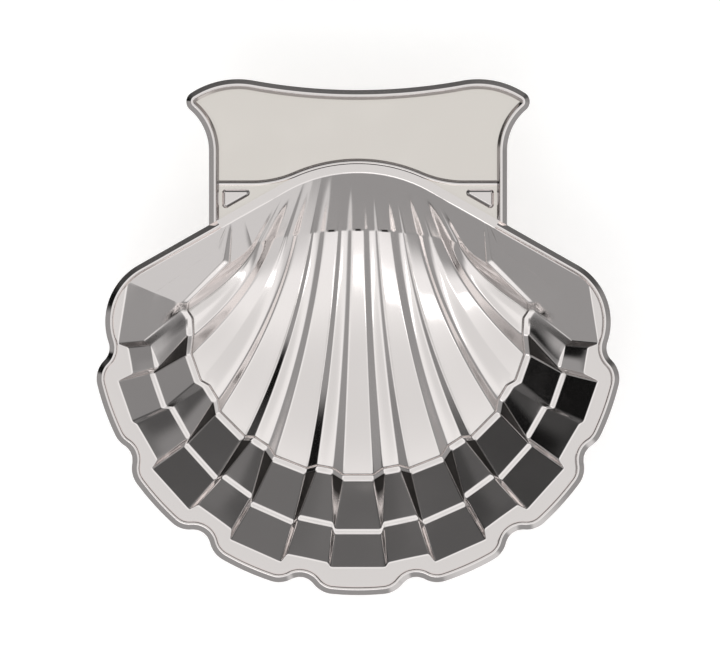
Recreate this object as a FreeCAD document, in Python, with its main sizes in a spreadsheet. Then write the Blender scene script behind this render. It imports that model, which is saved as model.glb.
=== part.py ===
# Baptismal shell: a fluted scallop dish with a flat flared handle, on three ball feet.
# Millimetres, +Z up, +Y towards the handle. The origin is on the table under the middle.
import FreeCAD, Part
import Sketcher
import math
import os

Vector = FreeCAD.Vector

# Driving sizes: name, value and what it measures. Lengths in mm, angles in degrees.
SIZES = (
    ("sheet_thickness", 1.0, "bowl sheet"),
    ("plate_thickness", 1.2, "handle plate"),
    ("flute_pitch", 24.0, "angle from one channel to the next about the bowl's centre"),
    ("channel_half_angle", 6.2, "half the flat of a channel on the wall"),
    ("channel_half_floor", 5.9, "half the flat of a channel on the floor"),
    ("front_half_floor", 5.2, "half the flat of the middle channel on the floor"),
    ("ridge_half_angle", 2.9, "half the flat of a ridge on the floor"),
    ("ridge_half_angle_wall", 4.9, "half the flat of a ridge on the upper wall"),
    ("ridge_shift", 0.6, "outward turn of the outer ridges on the floor"),
    ("flute_lean", 3.2, "outward lean of the side flutes at the lower fold"),
    ("lobe_radius", 63.5, "bowl's centre to the front lobes of the rim"),
    ("side_step", 1.5, "how far the side lobes stand in from the front ones"),
    ("notch_depth", 2.8, "front lobes in to the notches between them"),
    ("side_notch_depth", 4.3, "side lobes in to the last notch on each side"),
    ("lobe_corner", 6.0, "rounding at the ends of a lobe"),
    ("notch_curve", 4.0, "hollow curve of a notch"),
    ("shoulder_curve", 15.0, "curve of the shoulder lobe beside the handle"),
    ("back_radius", 36.0, "bowl's centre to the flange's edge at the brow"),
    ("diagonal_angle", 29.5, "slope of the straight edge from shoulder to brow"),
    ("lobe_flange", 4.8, "flange inside a lobe"),
    ("front_flange", 6.0, "flange inside the middle lobe, where water is poured"),
    ("notch_flange", 4.2, "flange inside a notch"),
    ("back_flange", 2.0, "flange along the brow and the diagonals"),
    ("upper_band", 8.8, "flange in to the upper fold, seen from above"),
    ("upper_ledge", 1.1, "ledge on the upper fold"),
    ("shoulder_ledge", 0.2, "ledge on the upper fold beside the shoulder"),
    ("lower_band_front", 11.1, "upper ledge in to the lower one, front"),
    ("lower_band_side", 7.6, "upper ledge in to the lower one, side"),
    ("lower_ledge", 1.4, "ledge on the lower fold"),
    ("ledge_slope", 6.5, "rise of the ledges towards the rim"),
    ("fold_step", 0.5, "step from the floor up to the lower ledge"),
    ("step_slope", 65.0, "slope of that step"),
    ("ridge_inset_upper", 1.5, "how far a ridge stands in at the upper fold"),
    ("ridge_inset_lower", 1.3, "how far a ridge stands in at the lower fold"),
    ("ridge_height", 0.6, "ridge above the channels on the floor"),
    ("ridge_height_umbo", 0.45, "ridge above the channels at the foot of the umbo"),
    ("upper_slope", 38.0, "slope of the upper wall band"),
    ("lower_slope", 35.0, "slope of the lower wall band"),
    ("brow_step_angle", 8.0, "flute spacing along the brow, about the bowl's centre"),
    ("umbo_pitch", 6.2, "flute spacing at the foot of the umbo"),
    ("umbo_reach", 21.0, "bowl's centre back to the foot of the umbo"),
    ("umbo_depth", 10.4, "flange down to the foot of the umbo"),
    ("umbo_bow", 0.22, "how the foot of the umbo curves forward, per flute squared"),
    ("umbo_rise", 0.28, "how the foot of the umbo rises, per flute squared"),
    ("floor_sag", 7.8, "pull of the floor below its ends, middle flute"),
    ("floor_sag_fall", 0.30, "loss of that pull, per flute squared"),
    ("floor_flare", 0.25, "share of a flute's spread reached halfway along the floor"),
    ("shoulder_edge", 4.1, "upper fold out to the edge of the shoulder's flute, on the diagonal"),
    ("wall_top", 3.0, "upper fold out to the top of the shoulder's wall, on the diagonal"),
    ("wall_mid", 0.5, "upper fold in to where its ledge ends on the diagonal"),
    ("wall_foot", 4.2, "upper fold in to where the lower fold ends on the diagonal"),
    ("rim_wire_width", 2.0, "moulded wire on the bowl's rim"),
    ("rim_wire_height", 0.9, "moulded wire above the flange"),
    ("rim_crest", 1.4, "outer edge of the rim wire in to its crest"),
    ("crest_width", 0.35, "flat along the crest of a moulding"),
    ("handle_reach", 55.6, "bowl's centre to the handle's crests"),
    ("handle_half_width", 34.4, "half the handle between its straight sides"),
    ("handle_side_top", 39.0, "bowl's centre back to where the sides start to flare"),
    ("flare_curve", 12.6, "curve of the flaring sides"),
    ("corner_curve", 2.4, "rounding of the handle's top corners"),
    ("crest_offset", 27.7, "middle line to a crest"),
    ("crest_curve", 20.0, "curve of a crest"),
    ("dip_depth", 2.5, "crests down to the dip between them"),
    ("lap", 1.3, "handle plate tucked under the bowl's flange"),
    ("border_width", 2.3, "moulding round the handle"),
    ("border_crest", 1.35, "outer edge of the border in to its crest"),
    ("brow_wire_width", 1.3, "wire along the brow"),
    ("brow_wire_height", 0.6, "wire along the brow, above the plate"),
    ("brow_drop", 4.4, "brow in to the brow wire's straight ends"),
    ("brow_sweep", 25.0, "hollow curve between those ends and the brow"),
    ("drop_height", 0.8, "ear drop above the plate"),
    ("drop_corner", 0.9, "rounding of an ear drop's corners"),
    ("drop_taper", 38.0, "lean of an ear drop's sides"),
    ("drop_margin", 0.7, "ear drop clear of the mouldings beside it"),
    ("drop_gap", 1.4, "ear drop clear of the bowl's edge"),
    ("ball_radius", 3.0, "ball foot"),
    ("ball_pad", 2.8, "ball's centre down to its worn flat"),
    ("ball_seat", 2.2, "ball's centre up to its collar"),
    ("collar_radius", 3.2, "collar where it meets the bowl"),
    ("collar_height", 1.5, "front collars, from ball to bowl"),
    ("front_foot_angle", 52.8, "front feet either side of the front, about the bowl's centre"),
    ("front_foot_inset", 8.8, "lower fold in to a front foot"),
    ("back_foot_inset", 5.5, "foot of the umbo forward to the rear foot"),
)

RIDGES_EACH_SIDE = 4
FRONT_LOBES_EACH_SIDE = 2
SEWING_TOLERANCE = 1e-4
EDGES_AS_DRAWN = 1

doc = FreeCAD.newDocument("baptismal_shell")
sheet = doc.addObject("Spreadsheet::Sheet", "sizes")
for row, (alias, value, note) in enumerate(SIZES, start=1):
    sheet.set("A%d" % row, note)
    sheet.set("B%d" % row, str(value))
    sheet.setAlias("B%d" % row, alias)
doc.recompute()


def size(alias):
    """A driving size, read from the sheet."""
    return float(sheet.get(alias))


# Places that follow from the driving sizes.
CENTRE_Y = (size("lobe_radius") - size("handle_reach")) / 2
CENTRE = Vector(0, CENTRE_Y, 0)
DIAGONAL_ANGLE = 180 - size("diagonal_angle")
DIAGONAL_OUT = Vector(
    math.sin(math.radians(DIAGONAL_ANGLE)), -math.cos(math.radians(DIAGONAL_ANGLE)), 0
)
DIAGONAL_FORWARD = Vector(DIAGONAL_OUT.y, -DIAGONAL_OUT.x, 0)


# Small helpers on points and edges.
def polar(radius, degrees, z=0.0):
    """A point about the bowl's centre, its angle taken from the front towards +X."""
    angle = math.radians(degrees)
    return Vector(radius * math.sin(angle), CENTRE_Y - radius * math.cos(angle), z)


def unit(vector):
    return Vector(vector) / vector.Length


def at_height(point, z):
    return Vector(point.x, point.y, z)


def mirrored(point):
    """The same point on the other side of the middle line."""
    return Vector(-point.x, point.y, point.z)


def line(start, end):
    return Part.LineSegment(start, end).toShape()


def arc_about(centre, start, end):
    """The shorter arc from start to end about a centre."""
    middle = centre + unit((start - centre) + (end - centre)) * (start - centre).Length
    return Part.Arc(start, middle, end).toShape()


def polyline(points):
    return [line(first, second) for first, second in zip(points[:-1], points[1:])]


def both_sides(edges):
    """Edges of the right half, run on from their mirror images on the left."""
    middle = Part.Wire(edges).mirror(Vector(0, 0, 0), Vector(1, 0, 0))
    return Part.Wire(Part.__sortEdges__(middle.Edges + edges))


# The rim's outline: lobes, rounded corners and notches as tangent arcs.
def lobe_radius(index):
    front = abs(index) <= FRONT_LOBES_EACH_SIDE
    return size("lobe_radius") - (0 if front else size("side_step"))


def notch_radius(index):
    if index == RIDGES_EACH_SIDE - 1:
        return lobe_radius(index) - size("side_notch_depth")
    return size("lobe_radius") - size("notch_depth")


def corner_turn(lobe, notch):
    """Angle about the bowl's centre from a notch to the lobe's corner beside it."""
    near = lobe - size("lobe_corner")
    far = notch + size("notch_curve")
    apart = size("lobe_corner") + size("notch_curve")
    return math.degrees(math.acos((near**2 + far**2 - apart**2) / (2 * near * far)))


def shoulder_centre():
    """Centre of the shoulder lobe, tangent to the last notch and to the diagonal."""
    last = RIDGES_EACH_SIDE - 1
    notch = polar(notch_radius(last) + size("notch_curve"), (last + 0.5) * size("flute_pitch"))
    foot = CENTRE + DIAGONAL_OUT * (size("back_radius") - size("shoulder_curve"))
    reach = size("shoulder_curve") + size("notch_curve")
    along = (notch - foot).dot(DIAGONAL_FORWARD)
    across = (notch - foot).dot(DIAGONAL_OUT)
    return foot + DIAGONAL_FORWARD * (along - math.sqrt(reach**2 - across**2))


def rim_circles():
    """Circles of the rim's right half from the front: centre, radius, and hollow or not."""
    pitch = size("flute_pitch")
    corner = size("lobe_corner")
    circles = []
    for index in range(RIDGES_EACH_SIDE):
        lobe = lobe_radius(index)
        notch = notch_radius(index)
        notch_angle = (index + 0.5) * pitch
        circles.append((CENTRE, lobe, False))
        turn = corner_turn(lobe, notch)
        circles.append((polar(lobe - corner, notch_angle - turn), corner, False))
        hollow = polar(notch + size("notch_curve"), notch_angle)
        circles.append((hollow, size("notch_curve"), True))
        if index < RIDGES_EACH_SIDE - 1:
            following = lobe_radius(index + 1)
            turn = corner_turn(following, notch)
            circles.append((polar(following - corner, notch_angle + turn), corner, False))
    circles.append((shoulder_centre(), size("shoulder_curve"), False))
    return circles


def tangent_point(first, second, inset):
    """Where two neighbouring circles of the rim touch, moved in from the edge."""
    (centre, radius, hollow), (other, other_radius, other_hollow) = first, second
    if hollow:
        return other + unit(centre - other) * (other_radius - inset)
    if other_hollow or radius > other_radius:
        return centre + unit(other - centre) * (radius - inset)
    return other + unit(centre - other) * (other_radius - inset)


def rim_half(inset):
    """Right half of the rim from the front to the end of the shoulder lobe."""
    circles = rim_circles()
    start = polar(lobe_radius(0) - inset, 0)
    edges = []
    for circle, following in zip(circles[:-1], circles[1:]):
        end = tangent_point(circle, following, inset)
        edges.append(arc_about(circle[0], start, end))
        start = end
    end = circles[-1][0] + DIAGONAL_OUT * (size("shoulder_curve") - inset)
    edges.append(arc_about(circles[-1][0], start, end))
    return edges, end


def diagonal_at(x, inset):
    """The point of the diagonal, moved in from the flange's edge, at a given x."""
    reach = size("back_radius") - inset
    return Vector(x, CENTRE_Y + (reach - DIAGONAL_OUT.x * x) / DIAGONAL_OUT.y, 0)


def bowl_outline(z):
    """The flange's whole outer edge as a closed wire."""
    edges, shoulder_end = rim_half(0)
    brow_corner = CENTRE + DIAGONAL_OUT * size("back_radius")
    brow_middle = CENTRE + Vector(0, size("back_radius"), 0)
    edges.append(line(shoulder_end, brow_corner))
    edges.append(arc_about(CENTRE, brow_corner, brow_middle))
    wire = both_sides(edges)
    wire.translate(Vector(0, 0, z))
    return wire


# The bowl: flutes as ribs from the brow over the umbo, along the floor and up the wall.
def upper_fold_radius():
    """Bowl's centre to the outer edge of the upper ledge, along a channel."""
    return size("lobe_radius") - size("lobe_flange") - size("upper_band")


def lower_fold_radius(degrees):
    """Bowl's centre to the outer edge of the lower ledge, an oval, along a channel."""
    upper_in = upper_fold_radius() - size("upper_ledge")
    front = upper_in - size("lower_band_front")
    side = upper_in - size("lower_band_side")
    angle = math.radians(degrees)
    return 1 / math.hypot(math.sin(angle) / side, math.cos(angle) / front)


def diagonal_radius(degrees, outward):
    """Bowl's centre to the dish's edge along the diagonal, moved out from it."""
    reach = size("back_radius") - size("back_flange") + outward
    return reach / math.cos(math.radians(DIAGONAL_ANGLE - degrees))


def diagonal_turn(radius):
    """Angle at which a circle about the bowl's centre meets the dish's edge along the diagonal."""
    reach = size("back_radius") - size("back_flange")
    return DIAGONAL_ANGLE - math.degrees(math.acos(reach / radius))


def flange_inner_radius(wall_angle, raised):
    """Bowl's centre to the dish's edge at the top of a rib."""
    steps = abs(wall_angle) / size("flute_pitch")
    if raised:
        return notch_radius(int(steps)) - size("notch_flange")
    if round(steps) == RIDGES_EACH_SIDE:
        shoulder = notch_radius(RIDGES_EACH_SIDE - 1) - size("back_flange")
        return min(shoulder, diagonal_radius(abs(wall_angle), 0))
    flange = size("lobe_flange") if round(steps) else size("front_flange")
    return lobe_radius(round(steps)) - flange


def channel_edge(index, side):
    """One edge of a channel: floor angle, wall angle, not raised."""
    middle = index * size("flute_pitch")
    floor_half = size("channel_half_floor") if index else size("front_half_floor")
    return middle + side * floor_half, middle + side * size("channel_half_angle"), False


def rib_places():
    """Edges of the flutes from left to right: floor angle, wall angle, raised or not."""
    pitch = size("flute_pitch")
    places = []
    for index in range(-RIDGES_EACH_SIDE, RIDGES_EACH_SIDE):
        ridge = (index + 0.5) * pitch
        shift = math.copysign(size("ridge_shift"), ridge) if abs(ridge) > pitch else 0
        places.append(channel_edge(index, 1))
        for side in (-1, 1):
            floor_angle = ridge + shift + side * size("ridge_half_angle")
            wall_angle = ridge + side * size("ridge_half_angle_wall")
            places.append((floor_angle, wall_angle, True))
        places.append(channel_edge(index + 1, -1))
    shoulder = diagonal_turn(upper_fold_radius() + size("shoulder_edge"))
    return [(-shoulder, -shoulder, False)] + places + [(shoulder, shoulder, False)]


def slope_of(alias):
    """Rise over run of a slope given in degrees."""
    return math.tan(math.radians(size(alias)))


def rib(floor_angle, wall_angle, raised):
    """A rib's points below the flange's top: brow, umbo's foot, floor's pull, folds, flange."""
    flute = floor_angle / size("flute_pitch")
    fold_angle = floor_angle + size("flute_lean") * math.sin(math.radians(floor_angle))
    top_radius = flange_inner_radius(wall_angle, raised)
    upper_out = upper_fold_radius()
    lower_out = lower_fold_radius(fold_angle)
    if raised:
        upper_out -= size("ridge_inset_upper")
        lower_out -= size("ridge_inset_lower")
    beside_shoulder = abs(flute) > RIDGES_EACH_SIDE - 0.5
    upper_ledge = size("shoulder_ledge" if beside_shoulder else "upper_ledge")
    upper_in = upper_out - upper_ledge
    lower_in = lower_out - size("lower_ledge")
    floor_end = lower_in - size("fold_step") / slope_of("step_slope")
    upper_depth = (top_radius - upper_out) * slope_of("upper_slope")
    lower_depth = upper_depth + (upper_in - lower_out) * slope_of("lower_slope")
    umbo_depth = size("umbo_depth") - size("umbo_rise") * flute**2
    if raised:
        lower_depth -= size("ridge_height")
        umbo_depth -= size("ridge_height_umbo")
    elif abs(flute) < 0.5:
        # The middle channel is as deep as the others, though its flange is wider.
        wider = size("front_flange") - size("lobe_flange")
        lower_depth += wider * slope_of("upper_slope")
    brow_radius = size("back_radius") - size("back_flange")
    brow = polar(brow_radius, 180 - size("brow_step_angle") * flute)
    umbo_y = CENTRE_Y + size("umbo_reach") - size("umbo_bow") * flute**2
    umbo = Vector(size("umbo_pitch") * flute, umbo_y, -umbo_depth)
    upper_foot = upper_depth + upper_ledge * slope_of("ledge_slope")
    lower_foot = lower_depth + size("lower_ledge") * slope_of("ledge_slope")
    folds = [
        polar(floor_end, fold_angle, -lower_foot - size("fold_step")),
        polar(lower_in, fold_angle, -lower_foot),
        polar(lower_out, fold_angle, -lower_depth),
        polar(upper_in, wall_angle, -upper_foot),
        polar(upper_out, wall_angle, -upper_depth),
        polar(top_radius, wall_angle),
    ]
    pull = (umbo + folds[0]) / 2
    pull.x = umbo.x + size("floor_flare") * (folds[0].x - umbo.x)
    pull.z -= size("floor_sag") - size("floor_sag_fall") * flute**2
    return [brow, umbo, pull] + folds


def underside(points):
    """The same rib one sheet thickness below, mitred at its folds."""
    thickness = size("sheet_thickness")
    steps = [second - first for first, second in zip(points[:-1], points[1:])]
    runs = [unit(at_height(step, 0)) for step in steps]
    downs = [unit(Vector(step.z, 0, -at_height(step, 0).Length)) for step in steps]
    flat = Vector(0, 0, -1)
    before = [flat] + downs
    after = downs + [flat]
    run_before = runs[:1] + runs
    run_after = runs + runs[-1:]
    moved = []
    for index, point in enumerate(points):
        mitre = (before[index] + after[index]) / (1 + before[index].dot(after[index]))
        along = unit(run_before[index] + run_after[index])
        shift = along * mitre.x + Vector(0, 0, mitre.z)
        moved.append(point + shift * thickness)
    return moved


def wall_ends(outward, z):
    """Where the shoulder's folds and its top meet the right diagonal, the floor's end first."""
    fold = upper_fold_radius()
    radii = (fold - size("wall_foot"), fold - size("wall_mid"), fold + size("wall_top"))
    turns = [diagonal_turn(radius) for radius in radii]
    foot, middle, top = (polar(diagonal_radius(turn, outward), turn, z) for turn in turns)
    lower_in = foot + DIAGONAL_FORWARD * (size("fold_step") / slope_of("step_slope"))
    lower_out = lower_in + DIAGONAL_FORWARD * size("lower_ledge")
    upper_out = middle + DIAGONAL_FORWARD * size("shoulder_ledge")
    return [foot, lower_in, lower_out, middle, upper_out, top]


def rib_curves(points):
    """A rib as its edges: umbo, floor, then step, ledges and wall bands."""
    brow, umbo, pull, *folds = points
    floor = Part.BezierCurve()
    floor.setPoles([umbo, pull, folds[0]])
    return [line(brow, umbo), floor.toShape()] + polyline(folds)


def ruled_faces(left, right):
    """A ruled face between each pair of facing edges, which run the same way."""
    pairs = zip(left, right)
    return [Part.makeRuledSurface(first, second, EDGES_AS_DRAWN) for first, second in pairs]


def dish_faces(ribs, right_ends):
    """One skin of the fluted dish inside the flange."""
    faces = []
    curves = [rib_curves(points) for points in ribs]
    for left, right in zip(curves[:-1], curves[1:]):
        faces += ruled_faces(left, right)
    left_ends = [mirrored(point) for point in right_ends]
    for points, ends in ((ribs[0], left_ends), (ribs[-1], right_ends)):
        faces += ruled_faces(rib_curves(points)[1:], polyline(points[:1] + ends))
    return faces


def dish_mouth(ribs, right_ends):
    """The closed line where the dish meets the flange."""
    left_ends = [mirrored(point) for point in right_ends]
    loop = [points[0] for points in ribs] + right_ends
    loop += [points[-1] for points in reversed(ribs)] + left_ends[::-1]
    loop.append(loop[0])
    return Part.Wire(polyline(loop))


def solid_of(faces):
    """A closed solid from faces that meet along their edges."""
    skin = Part.makeCompound(faces)
    skin.sewShape(SEWING_TOLERANCE)
    solid = Part.makeSolid(skin.Shells[0])
    if solid.Volume < 0:
        solid.reverse()
    return solid


inner_ribs = [rib(*place) for place in rib_places()]
outer_ribs = [underside(points) for points in inner_ribs]
corner_shift = size("sheet_thickness") * math.tan(math.radians(size("upper_slope")) / 2)
inner_ends = wall_ends(0, 0)
outer_ends = wall_ends(corner_shift, -size("sheet_thickness"))
inner_mouth = dish_mouth(inner_ribs, inner_ends)
outer_mouth = dish_mouth(outer_ribs, outer_ends)
outer_dish = dish_faces(outer_ribs, outer_ends)

bowl_faces = dish_faces(inner_ribs, inner_ends) + outer_dish
down_one_sheet = Vector(0, 0, -size("sheet_thickness"))
for mouth, z in ((inner_mouth, 0), (outer_mouth, -size("sheet_thickness"))):
    bowl_faces.append(Part.makeFace([bowl_outline(z), mouth], "Part::FaceMakerBullseye"))
bowl_faces += [edge.extrude(down_one_sheet) for edge in bowl_outline(0).Edges]
bowl = doc.addObject("Part::Feature", "shell_bowl")
bowl.Shape = solid_of(bowl_faces)

# The room inside the dish's underside, kept only to seat the feet and trim their collars.
dish_room = doc.addObject("Part::Feature", "dish_room")
dish_room.Shape = solid_of(outer_dish + [Part.Face(outer_mouth)])


def underside_at(x, y):
    """Height of the dish's underside at a place, measured from the flange's top."""
    probe = line(Vector(x, y, -size("lobe_radius")), Vector(x, y, -size("sheet_thickness")))
    return probe.common(dish_room.Shape).BoundBox.ZMin


# The balls and the front collars lift the bowl off the table.
FRONT_FOOT_ANGLE = size("front_foot_angle")
FRONT_FOOT_RADIUS = lower_fold_radius(FRONT_FOOT_ANGLE) - size("front_foot_inset")
FEET = {
    "front_left": polar(FRONT_FOOT_RADIUS, -FRONT_FOOT_ANGLE),
    "front_right": polar(FRONT_FOOT_RADIUS, FRONT_FOOT_ANGLE),
    "back": Vector(0, CENTRE_Y + size("umbo_reach") - size("back_foot_inset"), 0),
}
SEATS = {name: underside_at(place.x, place.y) for name, place in FEET.items()}
COLLAR_FOOT = size("ball_pad") + size("ball_seat")
FLANGE_TOP = COLLAR_FOOT + size("collar_height") - SEATS["front_left"]
FLANGE_UNDER = FLANGE_TOP - size("sheet_thickness")
bowl.Placement.Base.z = FLANGE_TOP
dish_room.Placement.Base.z = FLANGE_TOP


# Moulded wires, swept along flat paths.
def swept_piece(name, path, profile):
    """A sweep of a closed profile along a flat path of lines and arcs."""
    spine = doc.addObject("Part::Feature", name + "_path")
    spine.Shape = path
    section = doc.addObject("Part::Feature", name + "_profile")
    section.Shape = profile
    sweep = doc.addObject("Part::Sweep", name)
    sweep.Sections = [section]
    sweep.Spine = (spine, ["Edge%d" % number for number in range(1, len(path.Edges) + 1)])
    sweep.Solid = True
    sweep.Frenet = False
    return sweep


def moulding_profile(start, run, width, crest, side_height, height):
    """A ridged section with a flat crest, square to the path's first run.

    crest is the distance from the edge away from the bowl's centre in to the crest's middle.
    """
    out = Vector(run.y, -run.x, 0)
    if out.dot(start - CENTRE) < 0:
        out = out * -1
    up = Vector(0, 0, 1)
    outer = start + out * (width / 2)
    inner = start - out * (width / 2)
    crest_half = out * (size("crest_width") / 2)
    crest_middle = outer - out * crest + up * height
    corners = [outer + up * side_height, crest_middle + crest_half]
    corners += [crest_middle - crest_half, inner + up * side_height]
    if side_height > 0:
        corners = [outer] + corners + [inner]
    return Part.makePolygon(corners + corners[:1])


def path_start(path):
    """First point and direction of an ordered path."""
    edge = path.OrderedEdges[0]
    start = path.OrderedVertexes[0].Point
    at_first = (edge.valueAt(edge.FirstParameter) - start).Length < SEWING_TOLERANCE
    parameter = edge.FirstParameter if at_first else edge.LastParameter
    run = unit(edge.tangentAt(parameter))
    return start, run if at_first else run * -1


rim_inset = size("rim_wire_width") / 2
rim_edges, shoulder_end = rim_half(rim_inset)
rim_foot_x = size("handle_half_width") - size("border_width")
rim_edges.append(line(shoulder_end, diagonal_at(rim_foot_x, rim_inset)))
rim_path = both_sides(rim_edges)
rim_path.translate(Vector(0, 0, FLANGE_TOP))
rim_start, rim_run = path_start(rim_path)
rim_profile = moulding_profile(
    rim_start, rim_run, size("rim_wire_width"), size("rim_crest"), 0, size("rim_wire_height")
)
rim_wire = swept_piece("bowl_rim_wire", rim_path, rim_profile)


# The handle's outline: a dip between two crests, rounded corners and flaring sides.
def circle_crossing(first, first_radius, second, second_radius):
    """The crossing of two circles that lies nearer the handle's top."""
    gap = second - first
    along = (first_radius**2 - second_radius**2 + gap.Length**2) / (2 * gap.Length)
    aside = math.sqrt(first_radius**2 - along**2)
    foot = first + unit(gap) * along
    return foot + unit(Vector(-gap.y, gap.x, 0)) * aside


HANDLE_TOP = CENTRE_Y + size("handle_reach")
CREST_CENTRE = Vector(size("crest_offset"), HANDLE_TOP - size("crest_curve"), 0)
CREST_AND_DIP = (size("crest_offset") ** 2 + size("dip_depth") ** 2) / (2 * size("dip_depth"))
DIP_CURVE = CREST_AND_DIP - size("crest_curve")
DIP_CENTRE = Vector(0, HANDLE_TOP - size("dip_depth") + DIP_CURVE, 0)
FLARE_CENTRE = Vector(
    size("handle_half_width") + size("flare_curve"), CENTRE_Y + size("handle_side_top"), 0
)
CORNER_CENTRE = circle_crossing(
    CREST_CENTRE,
    size("crest_curve") - size("corner_curve"),
    FLARE_CENTRE,
    size("flare_curve") + size("corner_curve"),
)


def handle_points(inset):
    """Right half of the handle's edge from the dip down to the start of the straight side."""
    dip = DIP_CENTRE - Vector(0, DIP_CURVE + inset, 0)
    crest_in = CREST_CENTRE + unit(DIP_CENTRE - CREST_CENTRE) * (size("crest_curve") - inset)
    crest_out = CREST_CENTRE + unit(CORNER_CENTRE - CREST_CENTRE) * (size("crest_curve") - inset)
    flare_top = CORNER_CENTRE + unit(FLARE_CENTRE - CORNER_CENTRE) * (size("corner_curve") - inset)
    flare_foot = FLARE_CENTRE - Vector(size("flare_curve") + inset, 0, 0)
    return dip, crest_in, crest_out, flare_top, flare_foot


border_inset = size("border_width") / 2
dip, crest_in, crest_out, flare_top, flare_foot = handle_points(border_inset)
border_foot = diagonal_at(size("handle_half_width"), size("border_width"))
border_edges = [
    arc_about(DIP_CENTRE, dip, crest_in),
    arc_about(CREST_CENTRE, crest_in, crest_out),
    arc_about(CORNER_CENTRE, crest_out, flare_top),
    arc_about(FLARE_CENTRE, flare_top, flare_foot),
    line(flare_foot, Vector(flare_foot.x, border_foot.y, 0)),
]
border_path = both_sides(border_edges)
border_path.translate(Vector(0, 0, FLANGE_UNDER))
border_start, border_run = path_start(border_path)
border_profile = moulding_profile(
    border_start,
    border_run,
    size("border_width"),
    size("border_crest"),
    size("sheet_thickness"),
    size("sheet_thickness") + size("rim_wire_height"),
)
border_sweep = swept_piece("border_sweep", border_path, border_profile)
bowl_plan = doc.addObject("Part::Feature", "bowl_plan")
bowl_plan.Shape = Part.Face(bowl_outline(FLANGE_UNDER))
bowl_column = doc.addObject("Part::Extrusion", "bowl_column")
bowl_column.Base = bowl_plan
bowl_column.DirMode = "Custom"
bowl_column.Dir = Vector(0, 0, 1)
bowl_column.Solid = True
bowl_column.setExpression("LengthFwd", "sizes.sheet_thickness + 2 * sizes.rim_wire_height")
border = doc.addObject("Part::Cut", "handle_border")
border.Base = border_sweep
border.Tool = bowl_column

brow_radius = size("back_radius") + size("brow_wire_width") / 2
brow_level = size("back_radius") - size("brow_drop")
brow_line = CENTRE_Y + brow_level
sweep_rise = brow_level + size("brow_sweep")
sweep_x = math.sqrt((brow_radius + size("brow_sweep")) ** 2 - sweep_rise**2)
sweep_centre = Vector(sweep_x, brow_line + size("brow_sweep"), 0)
brow_top = CENTRE + Vector(0, brow_radius, 0)
brow_turn = CENTRE + unit(sweep_centre - CENTRE) * brow_radius
brow_flat = Vector(sweep_x, brow_line, 0)
brow_end = Vector(size("handle_half_width") - size("border_width"), brow_line, 0)
brow_edges = [
    arc_about(CENTRE, brow_top, brow_turn),
    arc_about(sweep_centre, brow_turn, brow_flat),
    line(brow_flat, brow_end),
]
brow_path = both_sides(brow_edges)
brow_path.translate(Vector(0, 0, FLANGE_UNDER))
brow_start, brow_run = path_start(brow_path)
brow_profile = moulding_profile(
    brow_start,
    brow_run,
    size("brow_wire_width"),
    size("brow_wire_width") / 2,
    0,
    size("brow_wire_height"),
)
brow_wire = swept_piece("brow_wire", brow_path, brow_profile)


# The handle plate: half its outline padded, then mirrored.
def origin_plane(body, role):
    return next(item for item in body.Origin.OriginFeatures if item.Role == role)


def sketch_arc(sketch, centre, start, end):
    """Adds the shorter arc between two points; returns its number and its end positions."""
    angles = [math.atan2(point.y - centre.y, point.x - centre.x) for point in (start, end)]
    turn = (angles[1] - angles[0] + math.pi) % (2 * math.pi) - math.pi
    first, last = (angles[0], angles[0] + turn) if turn > 0 else (angles[1], angles[1] - turn)
    circle = Part.Circle(centre, Vector(0, 0, 1), (start - centre).Length)
    number = sketch.addGeometry(Part.ArcOfCircle(circle, first, last), False)
    return (number, 1, 2) if turn > 0 else (number, 2, 1)


def sketch_line(sketch, start, end):
    return sketch.addGeometry(Part.LineSegment(start, end), False), 1, 2


plate = doc.addObject("PartDesign::Body", "handle_plate")
plate_sketch = plate.newObject("Sketcher::SketchObject", "plate_outline")
plate_sketch.AttachmentSupport = (origin_plane(plate, "XY_Plane"), [""])
plate_sketch.MapMode = "FlatFace"
dip, crest_in, crest_out, flare_top, flare_foot = handle_points(0)
lap_radius = size("back_radius") - size("lap")
side_foot = diagonal_at(size("handle_half_width"), size("lap"))
lap_corner = CENTRE + DIAGONAL_OUT * lap_radius
lap_middle = CENTRE + Vector(0, lap_radius, 0)
smooth_edges = [
    sketch_arc(plate_sketch, DIP_CENTRE, dip, crest_in),
    sketch_arc(plate_sketch, CREST_CENTRE, crest_in, crest_out),
    sketch_arc(plate_sketch, CORNER_CENTRE, crest_out, flare_top),
    sketch_arc(plate_sketch, FLARE_CENTRE, flare_top, flare_foot),
    sketch_line(plate_sketch, flare_foot, side_foot),
]
lap_edges = [
    sketch_line(plate_sketch, side_foot, lap_corner),
    sketch_arc(plate_sketch, CENTRE, lap_corner, lap_middle),
    sketch_line(plate_sketch, lap_middle, dip),
]
plate_edges = smooth_edges + lap_edges
for edge, following in zip(plate_edges, plate_edges[1:] + plate_edges[:1]):
    smooth = edge in smooth_edges and following in smooth_edges
    kind = "Tangent" if smooth else "Coincident"
    plate_sketch.addConstraint(
        Sketcher.Constraint(kind, edge[0], edge[2], following[0], following[1])
    )
crest_arc, corner_arc, flare_arc = (edge[0] for edge in smooth_edges[1:4])
lap_line, lap_arc = (edge[0] for edge in lap_edges[:2])
plate_constraints = (
    (Sketcher.Constraint("Radius", crest_arc, size("crest_curve")), "sizes.crest_curve"),
    (Sketcher.Constraint("Radius", corner_arc, size("corner_curve")), "sizes.corner_curve"),
    (Sketcher.Constraint("Radius", flare_arc, size("flare_curve")), "sizes.flare_curve"),
    (Sketcher.Constraint("DistanceX", -1, 1, crest_arc, 3, CREST_CENTRE.x), "sizes.crest_offset"),
    (Sketcher.Constraint("DistanceX", -1, 1, lap_line, 1, side_foot.x), "sizes.handle_half_width"),
    (Sketcher.Constraint("Radius", lap_arc, lap_radius), "sizes.back_radius - sizes.lap"),
)
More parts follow.
